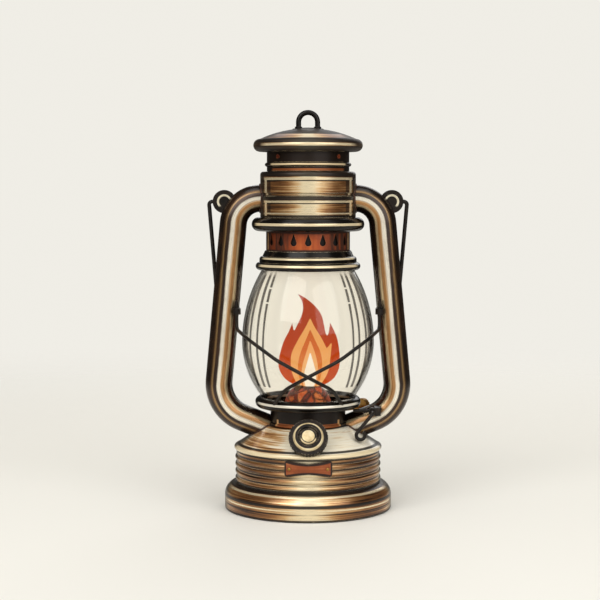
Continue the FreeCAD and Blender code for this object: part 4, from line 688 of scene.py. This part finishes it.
drum_enamel = make_enamel("drum_enamel", tint("1c130d"), tint("b87444"), shine=0.36,
                          copper=[(72.8, 1.3)], ends=[(74.6, 2.4)], sides=(0.66, 0.7))
black_wire = make_wire("black_wire")
gallery_copper = make_copper("gallery_copper", upright, mid="aa4a1a", light="cf6c2e",
                             dark=[(235.6, 1.2), (219.4, 0.5)], upright_highlights=GALLERY_HIGHLIGHTS)
rivet_copper = make_copper("rivet_copper", along_rings, "240c06", "8a3214", "c9683a", mottle=2.0)
embers = make_embers("ember_copper")
plate_copper = make_copper("plate_copper", along_rings, "5f2c14", "96491f", "c98350", border=plate_border)
brass = make_brass("yellow_brass")
sooty_steel = make_sooty_steel("sooty_steel")
rubber = make_rubber("black_rubber")
glass = make_glass("clear_glass")
filler_finish = make_filler_finish("filler_rings")

FINISHES = {
    canister_bronze: ["air_canister"],
    tank_bronze: ["tank"],
    foot_bronze: ["foot_ring"],
    shoulder_bronze: ["shoulder"],
    cap_bronze: ["hood_cap"],
    tube_bronze: ["left_air_tube", "right_air_tube"],
    flange_enamel: ["canister_flange"],
    collar_enamel: ["globe_collar"],
    plate_enamel: ["globe_plate"],
    ear_enamel: ["left_bail_ear", "right_bail_ear"],
    loop_enamel: ["lift_loop"],
    neck_enamel: ["hood_neck"],
    drum_enamel: ["burner_drum"],
    black_wire: ["bail", "left_guard_wire", "right_guard_wire", "left_guard_eye", "right_guard_eye",
                 "globe_lever", "lever_bracket"],
    gallery_copper: ["gallery"],
    embers: ["burner_dome"],
    rivet_copper: ["hood_rivets"],
    plate_copper: ["front_plate"],
    brass: ["burner_collar", "burner_deck", "wick_tube", "spindle_bush", "winder_spindle", "star_wheels",
            "thumb_wheel", "filler_neck"],
    sooty_steel: ["chimney_tube", "spring_seat", "hood_spring"],
    rubber: ["filler_gasket"],
    glass: ["globe"],
    filler_finish: ["filler_cap"],
}


def dress(piece, finish):
    """Gives a piece one finish."""
    piece.data.materials.clear()
    piece.data.materials.append(finish)


for finish, names in FINISHES.items():
    for node_name in names:
        dress(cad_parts[node_name], finish)


def placed(name, data):
    """A new object in the scene."""
    thing = bpy.data.objects.new(name, data)
    bpy.context.scene.collection.objects.link(thing)
    return thing


def new_piece(name, mesh, finish, body):
    """A new piece with its finish, that rides on a body if one is given."""
    piece = placed(name, mesh)
    dress(piece, finish)
    mesh.shade_smooth()
    if body:
        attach(piece, body)
    return piece


def evaluated_mesh(piece):
    """A piece's mesh with its modifiers applied, after which the piece is removed."""
    ready = piece.evaluated_get(bpy.context.evaluated_depsgraph_get())
    mesh = bpy.data.meshes.new_from_object(ready)
    bpy.data.objects.remove(piece)
    return mesh


def mesh_of(form, name):
    """A form's mesh, after which the form is freed."""
    mesh = bpy.data.meshes.new(name)
    form.to_mesh(mesh)
    form.free()
    return mesh


def finished(form, name):
    """A form's mesh with all its faces turned outwards."""
    bmesh.ops.recalc_face_normals(form, faces=form.faces)
    return mesh_of(form, name)


def round_of(count):
    """That many points evenly spread round a circle of radius 1, each as its two numbers."""
    turns = [2 * math.pi * step / count for step in range(count)]
    return [(math.cos(turn), math.sin(turn)) for turn in turns]


def loft_rings(form, rings):
    """Skins closed rings of points in order, and closes both ends with a fan."""
    loops = [[form.verts.new(point) for point in ring] for ring in rings]
    count = len(loops[0])
    for below, above in zip(loops, loops[1:]):
        for at in range(count):
            after = (at + 1) % count
            form.faces.new((below[at], below[after], above[after], above[at]))
    for loop, flip in ((loops[0], True), (loops[-1], False)):
        middle = form.verts.new(sum((v.co for v in loop), Vector()) / count)
        for at in range(count):
            pair = (loop[at], loop[(at + 1) % count])
            form.faces.new((middle,) + (pair[::-1] if flip else pair))


# The steps in a quarter of a bead's round.
BEAD_STEPS = 3


def tube_along(points, radius, closed):
    """A round bead or wire along points, as a mesh."""
    line = bpy.data.curves.new("bead_line", "CURVE")
    line.dimensions = "3D"
    spline = line.splines.new("POLY")
    spline.points.add(len(points) - 1)
    for spot, point in zip(spline.points, points):
        spot.co = (*point, 1.0)
    spline.use_cyclic_u = closed
    line.bevel_depth = radius
    line.bevel_resolution = BEAD_STEPS
    line.use_fill_caps = not closed
    piece = placed("bead_line", line)
    bpy.context.view_layer.update()
    return evaluated_mesh(piece)


# The flame: nested tongues, each layer narrower than the one round it, and deeper so that it shows. Their
# rows are height, middle and half width, in millimetres.
FLAME_SIDES = 28
FLAME_ROWS = 5
# The heights between which its colours change.
FLAME_SPAN = (102 * MM, 176 * MM)
# The thinnest half width of a tongue, and how much deeper each layer is than the last.
FLAME_EDGE = 0.25
FLAME_STEP = 1.1
# The power that squares the section of the inner layers.
FLAME_SQUARE = 0.4
FLAME_VOXEL = 0.55 * MM
FLAME_CALM = 6
TONGUES = {
    "flame_outer": [
        [(103.5, 1.0, 10), (107, 1.2, 17), (112, 1.0, 22.5), (120, 0.8, 26.0), (129, 1.4, 25.4),
         (138, 1.4, 21.0), (147, 1.2, 14.6), (155, 2.2, 11.6), (163, 3.0, 8.8), (170, 1.6, 5.8),
         (177, -3.0, 2.9), (182.3, -9.0, 0.3)],
        [(118, -17, 7.5), (126, -17.2, 7.6), (134, -16.8, 6.4), (142, -15.8, 4.7), (150, -14.2, 2.3),
         (157, -13.4, 0.3)],
        [(118, 18, 8), (126, 19.4, 7.8), (135, 20.4, 6.2), (144, 20.6, 4.4), (151, 20.0, 2.2),
         (157.5, 18.8, 0.3)],
    ],
    "flame_amber": [
        [(103.8, 1.0, 8), (109, 1.2, 12.5), (117, 1.5, 16.2), (125, 1.6, 17.2), (133.4, 1.6, 15.8),
         (143, 1.8, 11.0), (152.5, 1.8, 5.2), (161.3, 1.8, 0.3)],
        [(122, 13.5, 4.8), (130, 15.2, 4.0), (136, 17.8, 2.0), (140.5, 19.8, 0.3)],
    ],
    "flame_orange": [
        [(104, 1.2, 6.5), (110, 1.4, 10.0), (118, 1.6, 12.2), (126, 1.8, 12.4), (134.6, 2.1, 9.8),
         (143, 2.0, 5.0), (151.9, 1.8, 0.3)],
    ],
    "flame_peach": [
        [(104.2, 1.2, 5.2), (110, 1.4, 7.4), (118, 1.5, 8.6), (125, 1.8, 7.6), (133.4, 2.1, 4.6),
         (143, 1.8, 0.3)],
    ],
    "flame_core": [
        [(104.4, 1.4, 4.0), (110, 1.6, 5.8), (117, 1.7, 6.0), (124, 1.8, 3.9), (133.4, 1.8, 0.3)],
    ],
}
# Each layer's colours at its tip, in its middle and at its foot.
FLAME_COLOURS = {
    "flame_outer": ("ab3c16", "b83f12", "c24a16"),
    "flame_amber": ("eaa860", "eda45c", "f0ad68"),
    "flame_orange": ("c25a22", "d2682a", "e0843c"),
    "flame_peach": ("ec9a52", "f0a864", "f4bc80"),
    "flame_core": ("fbe6c8", "fdf3e2", "fdf0da"),
}


def make_flame_finish(name, tip, middle, foot):
    """A glowing layer of flame, whose colour changes from its foot to its tip."""
    made, place = new_finish(name)
    z = axes_of(place)[2]
    lick = noise(stretched(place, 60.0, 60.0, 22.0), 1.0, 2.0)
    tone = z.rise(*FLAME_SPAN) + (lick - 0.5) * 0.45
    colour = tone.ramp((0.0, tint(foot)), (0.45, tint(middle)), (1.0, tint(tip)))
    coat_with(place, Base_Color=(0, 0, 0, 1), Roughness=1.0, Specular_IOR_Level=0.0, Emission_Color=colour,
              Emission_Strength=1.0)
    return made


def smooth_rows(rows, steps):
    """More rows between the given ones, on a smooth line through them."""
    fuller = []
    for at in range(len(rows) - 1):
        ring = [rows[max(0, min(len(rows) - 1, at + shift))] for shift in (-1, 0, 1, 2)]
        for step in range(steps):
            t = step / steps
            fuller.append([
                0.5 * (2 * b + (c - a) * t + (2 * a - 5 * b + 4 * c - d) * t**2
                       + (3 * b - a - 3 * c + d) * t**3)
                for a, b, c, d in zip(*ring)
            ])
    return fuller + [list(rows[-1])]


def blunt(share, power):
    """A share from -1 to 1 pushed outwards, which squares a round section."""
    return math.copysign(abs(share) ** power, share)


def body_depth(height):
    """Half the depth of the flame's body at a height, which the inner layers stand proud of."""
    rows = TONGUES["flame_outer"][0]
    for (low, _, below), (high, _, above) in zip(rows, rows[1:]):
        if height <= high:
            return (below + (above - below) * max(0, height - low) / (high - low)) / 2
    return rows[-1][2] / 2


def flame_mesh(name):
    """One layer of the flame, its tongues joined in one skin."""
    layer = list(TONGUES).index(name)
    square = FLAME_SQUARE if layer else 1.0
    section = [(blunt(across, square), blunt(back, square)) for across, back in round_of(FLAME_SIDES)]
    form = bmesh.new()
    for tongue in TONGUES[name]:
        rings = []
        for height, middle, half in smooth_rows(tongue, FLAME_ROWS):
            half = max(half, FLAME_EDGE)
            depth = body_depth(height) + FLAME_STEP * layer if layer else half / 2
            ring = [(middle + half * across, depth * back, height) for across, back in section]
            rings.append([Vector(point) * MM for point in ring])
        loft_rings(form, rings)
    piece = placed(name, mesh_of(form, name))
    remesh = piece.modifiers.new("one_skin", "REMESH")
    remesh.mode = "VOXEL"
    remesh.voxel_size = FLAME_VOXEL
    calm = piece.modifiers.new("calm", "SMOOTH")
    calm.iterations = FLAME_CALM
    bpy.context.view_layer.update()
    return evaluated_mesh(piece)


for layer, colours in FLAME_COLOURS.items():
    finish = make_flame_finish(layer, *colours)
    piece = new_piece(layer, flame_mesh(layer), finish, "frame")
    if layer == "flame_outer":
        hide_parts("flame")


# Solder round the tube ends: the bead's radius, its points, and where the lines that find them start: out
# from the axis for the top end, and along the foot from its corner for the other.
SOLDER = 1.1 * MM
SOLDER_POINTS = 72
TOP_START = 52 * MM
FOOT_START = 12 * MM


def surface_tree(node_name):
    """The faces of a CAD node, for casting rays on."""
    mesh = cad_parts[node_name].data
    return BVHTree.FromPolygons([v.co for v in mesh.vertices], [p.vertices for p in mesh.polygons])


def add_solder(name, node_name, middle, way):
    """A bead of solder round a tube's end, where lines along the tube's wall first meet a node."""
    faces = surface_tree(node_name)
    side = way.cross(Vector((0, 1, 0))).normalized()
    other = way.cross(side)
    starts = [middle + (side * a + other * b) * TUBE_RADIUS for a, b in round_of(SOLDER_POINTS)]
    hits = [faces.ray_cast(start, way)[0] for start in starts]
    bead = tube_along([hit for hit in hits if hit], SOLDER, closed=True)
    new_piece(name, bead, solder_copper, "frame")


solder_copper = make_copper("solder_copper", upright, "2a1710", "4a2c1c", "8a5a38")
SIDES = (("left", -1), ("right", 1))
for side_name, side in SIDES:
    start = Vector((TOP_START * side, 0, TOP_CORNER[1]))
    add_solder(side_name + "_top_solder", "air_canister", start, Vector((-side, 0, 0)))
    corner = Vector((LOW_CORNER[0] * side, 0, LOW_CORNER[1]))
    way = Vector((FOOT_WAY[0] * side, 0, FOOT_WAY[1]))
    add_solder(side_name + "_foot_solder", "shoulder", corner + way * FOOT_START, way)


# Lap seams down the rolled pieces: their rows, the steps in half their width, that half as an angle round the
# axis, how thick they are, the power that keeps them flat up to their edges, how far they sink in, and from
# how far out the lines that find the wall start.
SEAM_ROWS = 40
SEAM_STEPS = 4
SEAM_HALF = 0.075
SEAM_THICK = 0.4 * MM
SEAM_FLAT = 8
SEAM_SINK = 0.1 * MM
FAR_OUT = 200 * MM


def lap_seam(node_name, middle, low, high):
    """A flat overlap of sheet down a rolled wall, at an angle round the axis and between two heights."""
    faces = surface_tree(node_name)
    shares = [step / SEAM_STEPS - 1 for step in range(2 * SEAM_STEPS + 1)]
    rings = []
    for row in range(SEAM_ROWS + 1):
        height = (low + (high - low) * row / SEAM_ROWS) * MM
        inner, outer = [], []
        for share in shares:
            turn = middle + SEAM_HALF * share
            way = Vector((math.sin(turn), math.cos(turn), 0))
            hit = faces.ray_cast(way * FAR_OUT + Vector((0, 0, height)), way * -1)[0]
            inner.append(hit - way * SEAM_SINK)
            outer.append(hit + way * SEAM_THICK * (1 - abs(share) ** SEAM_FLAT))
        rings.append(inner + outer[::-1])
    form = bmesh.new()
    loft_rings(form, rings)
    return finished(form, node_name + "_seam")


SEAMS = (
    ("air_canister", canister_bronze, "frame", "aged_bronze", (0.0, 249.8, 282.0)),
    ("tank", tank_bronze, "frame", "aged_bronze", (0.9, 24.0, 48.6)),
    ("hood_neck", neck_enamel, "hood", "dark_bronze", (0.3, 287.4, 300.8)),
)
for node_name, finish, body, slot_name, run in SEAMS:
    new_piece(node_name + "_seam", lap_seam(node_name, *run), finish, body)


# Pins that hold the front plate. Their rings are shares of the height and of the radius.
PIN_RINGS = ((-0.3, 1.0), (0.25, 1.0), (0.6, 0.86), (0.85, 0.6), (1.0, 0.25))
PIN_SIDES = 20
PIN_RADIUS = 1.5 * MM
PIN_HEIGHT = 1.0 * MM
PIN_REACH = 15.8 * MM


def domed_pin(form, spot, way):
    """A low round head on a surface."""
    side = way.orthogonal().normalized()
    other = way.cross(side)
    rings = []
    for lift, share in PIN_RINGS:
        middle = spot + way * PIN_HEIGHT * lift
        ways = [side * a + other * b for a, b in round_of(PIN_SIDES)]
        rings.append([middle + out * PIN_RADIUS * share for out in ways])
    loft_rings(form, rings)


plate_faces = surface_tree("front_plate")
pins = bmesh.new()
for _, side in SIDES:
    start = Vector((PIN_REACH * side, -FAR_OUT, PLATE_MIDDLE))
    hit, way = plate_faces.ray_cast(start, Vector((0, 1, 0)))[:2]
    domed_pin(pins, hit, way)
new_piece("plate_pins", finished(pins, "plate_pins"), brass, "frame")

# The saddle and ferrules under the lift loop: the points in their rings, where its legs stand, a height over
# the cap's crown, the saddle's half sizes, its rings as shares of them with their lifts, and the ferrules'
# lift, radius and wire.
SADDLE_SIDES = 48
FERRULE_SIDES = 32
LOOP_LEG = 8.0
OVER_CROWN = 322.5
SADDLE_HALF = (13.2, 5.6)
SADDLE_RINGS = ((1.0, -0.2), (1.0, 0.3), (0.97, 0.52), (0.9, 0.62), (0.55, 0.66), (0.2, 0.66))
FERRULE_LIFT = 0.9 * MM
FERRULE_RADIUS = 2.5 * MM
FERRULE_WIRE = 0.75 * MM
cap_faces = surface_tree("hood_cap")


def on_cap(across, along_y):
    """The top of the hood cap over a place, as if the loop's holes weren't there."""
    spot = Vector((across, along_y, OVER_CROWN)) * MM
    spot.z = cap_faces.find_nearest(spot)[0].z
    return spot


def saddle_mesh():
    """A thin oval plate that follows the cap's crown."""
    wide, deep = SADDLE_HALF
    rings = []
    for share, lift in SADDLE_RINGS:
        spots = [on_cap(wide * share * a, deep * share * b) for a, b in round_of(SADDLE_SIDES)]
        rings.append([spot + Vector((0, 0, lift * MM)) for spot in spots])
    form = bmesh.new()
    loft_rings(form, rings)
    return finished(form, "loop_saddle")


new_piece("loop_saddle", saddle_mesh(), loop_enamel, "hood")
for side_name, side in SIDES:
    foot = on_cap(LOOP_LEG * side, 0) + Vector((0, 0, FERRULE_LIFT))
    ring = [foot + Vector((a, b, 0)) * FERRULE_RADIUS for a, b in round_of(FERRULE_SIDES)]
    bead = tube_along(ring, FERRULE_WIRE, closed=True)
    new_piece(side_name + "_loop_ferrule", bead, loop_enamel, "hood")

# The wick: a flat weave of yarns, frayed and charred at its top. Its half width, its heights, half its
# thickness between the yarns, how far these swell, and the rise and lean of their tufts are in millimetres.
# The swell is squared by a power, and a share of it goes over and under in turn.
WICK_HALF = 11.0
WICK_YARNS = 13
WICK_ROWS = 56
YARN_POINTS = 6
WICK_FOOT = 20.4
WICK_SHOULDER = 107.4
WICK_TOP = 109.3
WICK_CORE = 1.02
YARN_SWELL = 0.42
YARN_SQUARE = 0.6
OVER_UNDER = 0.22
TUFT_SIDES = 10
TUFT_DEEPER = 1.5
TUFT_RISE = 0.7
TUFT_LEAN = 0.35
WICK_TURN = Matrix.Rotation(math.radians(40), 4, "Z")
# The heights between which the cotton chars, and its tips glow.
CHAR_SPAN = (103.5 * MM, 108.5 * MM)
GLOW_SPAN = (107.8 * MM, 109.4 * MM)
COTTON_TONES = ((0.25, tint("a08f70")), (0.5, tint("d3c5a4")), (0.75, tint("efe6cf")))


def make_cotton(name):
    """Woven cotton, browned and charred towards the flame."""
    made, place = new_finish(name)
    z = axes_of(place)[2]
    fibre = noise(stretched(place, 1800.0, 1800.0, 500.0), 1.0, 3.0, 0.6)
    cloud = noise(place, 220.0, 3.0)
    colour = (fibre * 0.7 + cloud * 0.3).ramp(*COTTON_TONES)
    char = (z + (cloud - 0.5) * (4 * MM)).rise(*CHAR_SPAN)
    colour = (char * 0.96).mix(colour, tint("17110d"))
    ember = (z + (cloud - 0.5) * (2 * MM)).rise(*GLOW_SPAN) * fibre.rise(0.5, 0.66)
    glow = (ember * 0.9).mix((0, 0, 0, 1), tint("d2561c"))
    coat_with(place, Base_Color=colour, Roughness=fibre * 0.15 + 0.8, Sheen_Weight=0.3, Emission_Color=glow,
              Emission_Strength=0.8, Normal=bump(fibre, 0.4, 0.2 * MM))
    return made


def wick_mesh():
    """Rows of yarn that swell over and under each other, and a tuft at the end of each yarn."""
    pitch = 2 * WICK_HALF / WICK_YARNS
    points = YARN_POINTS * WICK_YARNS + 1
    rings = []
    for row in range(WICK_ROWS + 1):
        height = WICK_FOOT + (WICK_SHOULDER - WICK_FOOT) * row / WICK_ROWS
        faces = {-1: [], 1: []}
        for point in range(points):
            across = -WICK_HALF + 2 * WICK_HALF * point / (points - 1)
            yarn = min(int((across + WICK_HALF) / pitch), WICK_YARNS - 1)
            swell = abs(math.sin(math.pi * (across + WICK_HALF) / pitch)) ** YARN_SQUARE
            for face, skin in faces.items():
                over = 1 - OVER_UNDER + OVER_UNDER * face * (-1) ** (yarn + row)
                skin.append(Vector((across, face * (WICK_CORE + YARN_SWELL * swell * over), height)) * MM)
        rings.append(faces[-1] + faces[1][::-1])
    form = bmesh.new()
    loft_rings(form, rings)
    for yarn in range(WICK_YARNS):
        across = -WICK_HALF + (yarn + 0.5) * pitch
        rise = 0.5 + 0.5 * math.sin(yarn * 2.4 + 0.7)
        tip = WICK_SHOULDER + TUFT_RISE + (WICK_TOP - WICK_SHOULDER - TUFT_RISE) * rise
        lean = TUFT_LEAN * math.sin(yarn * 1.7)
        rows = ((WICK_SHOULDER - 0.8, 0.8), (WICK_SHOULDER + 0.3, 0.78), (tip - 0.5, 0.5), (tip, 0.12))
        tuft = []
        for height, reach in rows:
            share = max(0.0, height - WICK_SHOULDER) / (WICK_TOP - WICK_SHOULDER)
            middle = across + lean * share
            ring = [(middle + reach * a, TUFT_DEEPER * reach * b, height) for a, b in round_of(TUFT_SIDES)]
            tuft.append([Vector(point) * MM for point in ring])
        loft_rings(form, tuft)
    bmesh.ops.transform(form, matrix=WICK_TURN, verts=form.verts)
    return finished(form, "woven_wick")


wick_piece = new_piece("woven_wick", wick_mesh(), make_cotton("woven_cotton"), "wick_strip")
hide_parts("wick")

# The hood spring: its lower half closes as the hood is lifted off the globe, its upper half as the globe is
# raised. Each half goes from one height to another, between the body below and the one above.
SPRING_RADIUS = 35.7 * MM
SPRING_WIRE = 0.8 * MM
SPRING_STEPS = 150
HALF_TURNS = 2.5
SPRING_HALVES = (("lower_hood_spring", 250.0, 266.8, "hood", "globe_carriage"),
                 ("upper_hood_spring", 266.8, 283.6, "globe_carriage", "frame"))


def coil_mesh(low, high, first_turn):
    """Half of the spring's wire, between two heights."""
    points = []
    for step in range(SPRING_STEPS + 1):
        share = step / SPRING_STEPS
        turn = 2 * math.pi * (first_turn + HALF_TURNS * share)
        level = (low + (high - low) * share) * MM
        points.append(Vector((SPRING_RADIUS * math.cos(turn), SPRING_RADIUS * math.sin(turn), level)))
    return tube_along(points, SPRING_WIRE, closed=False)


for half, (half_name, low, high, below, above) in enumerate(SPRING_HALVES):
    piece = new_piece(half_name, coil_mesh(low, high, half * HALF_TURNS), sooty_steel, None)
    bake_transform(piece)
    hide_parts("hood_spring")

# The studio: a pale floor that fades out between two reaches, a pale world and soft lamps.
PALE = (0.87, 0.85, 0.79, 1.0)
PAPER = (0.83, 0.81, 0.755, 1.0)
FLOOR_REACH = 4.0
FLOOR_SIDES = 96
FLOOR_FADE = (0.3, 1.4)
UNDER_FOOT = -0.2 * MM
WORLD_LIGHT = 0.5
MIDDLE = (0, 0, 0.17)
LAMPS = (
    ("key_lamp", (-1.1, -1.7, 1.5), (1.7, 1.7), 26),
    ("fill_lamp", (1.2, -1.6, 1.1), (1.7, 1.7), 18),
    ("back_lamp", (0.3, 1.5, 1.0), (1.2, 1.2), 8),
    ("top_lamp", (0, -0.3, 1.8), (1.6, 1.0), 8),
)


def make_floor():
    """A wide round floor that fades into the world."""
    form = bmesh.new()
    bmesh.ops.create_circle(form, cap_ends=True, segments=FLOOR_SIDES, radius=FLOOR_REACH)
    floor = placed("studio_floor", mesh_of(form, "studio_floor"))
    floor.location.z = UNDER_FOOT
    made, place = new_finish("floor_paper")
    x, y = axes_of(place)[:2]
    reach = (x * x + y * y) ** 0.5
    paper = place.node("BsdfDiffuse", sockets={"Color": PAPER})
    clear = place.node("BsdfTransparent")
    faded = place.node("MixShader", sockets={0: reach.rise(*FLOOR_FADE), 1: paper, 2: clear})
    place.node("OutputMaterial", sockets={"Surface": faded})
    dress(floor, made)


def make_world():
    """A pale world: full to the eye and through glass, softer as light, and seen in gloss mostly in front."""
    world = bpy.data.worlds.new("studio_world")
    world.use_nodes = True
    world.node_tree.nodes.clear()
    bpy.context.scene.world = world
    start = Field(world.node_tree)
    rays = ("Camera", "Glossy", "Transmission")
    straight, glossy, through = [start.node("LightPath", out=f"Is {ray} Ray") for ray in rays]
    x, y = axes_of(start.node("TexCoord", out="Generated"))[:2]
    shown = abs(x).rise(0.85, 0.3) * y.rise(0.3, -0.4) * 0.5 + 0.05
    seen = straight.larger(through)
    level = seen * (1 - WORLD_LIGHT) + WORLD_LIGHT
    level = level + glossy * (1 - seen) * (shown - WORLD_LIGHT)
    light = start.node("Background", sockets={"Color": PALE, "Strength": level})
    start.node("OutputWorld", sockets={"Surface": light})


def look_at(thing, spot, aim):
    """Puts a lamp or camera in a spot, aimed at another."""
    thing.location = spot
    thing.rotation_euler = (Vector(aim) - Vector(spot)).to_track_quat("-Z", "Y").to_euler()


def make_lamp(name, spot, size, power):
    """A soft lamp with a flat face, aimed at the lantern."""
    data = bpy.data.lights.new(name, "AREA")
    data.shape = "RECTANGLE"
    data.size, data.size_y = size
    data.energy = power
    look_at(placed(name, data), spot, MIDDLE)


make_floor()
make_world()
for lamp in LAMPS:
    make_lamp(*lamp)

# The camera, at the photograph's angle: its lens and film in millimetres, its place and its aim.
LENS = 92.0
FILM_WIDTH = 36.0
CAMERA_SPOT = (-0.0068, -1.3, 0.27)
CAMERA_AIM = (-0.0068, 0, 0.1768)
camera_data = bpy.data.cameras.new("camera")
camera_data.lens = LENS
camera_data.sensor_width = FILM_WIDTH
camera = placed("camera", camera_data)
look_at(camera, CAMERA_SPOT, CAMERA_AIM)
bpy.context.scene.camera = camera
bpy.context.scene.view_settings.view_transform = "Standard"
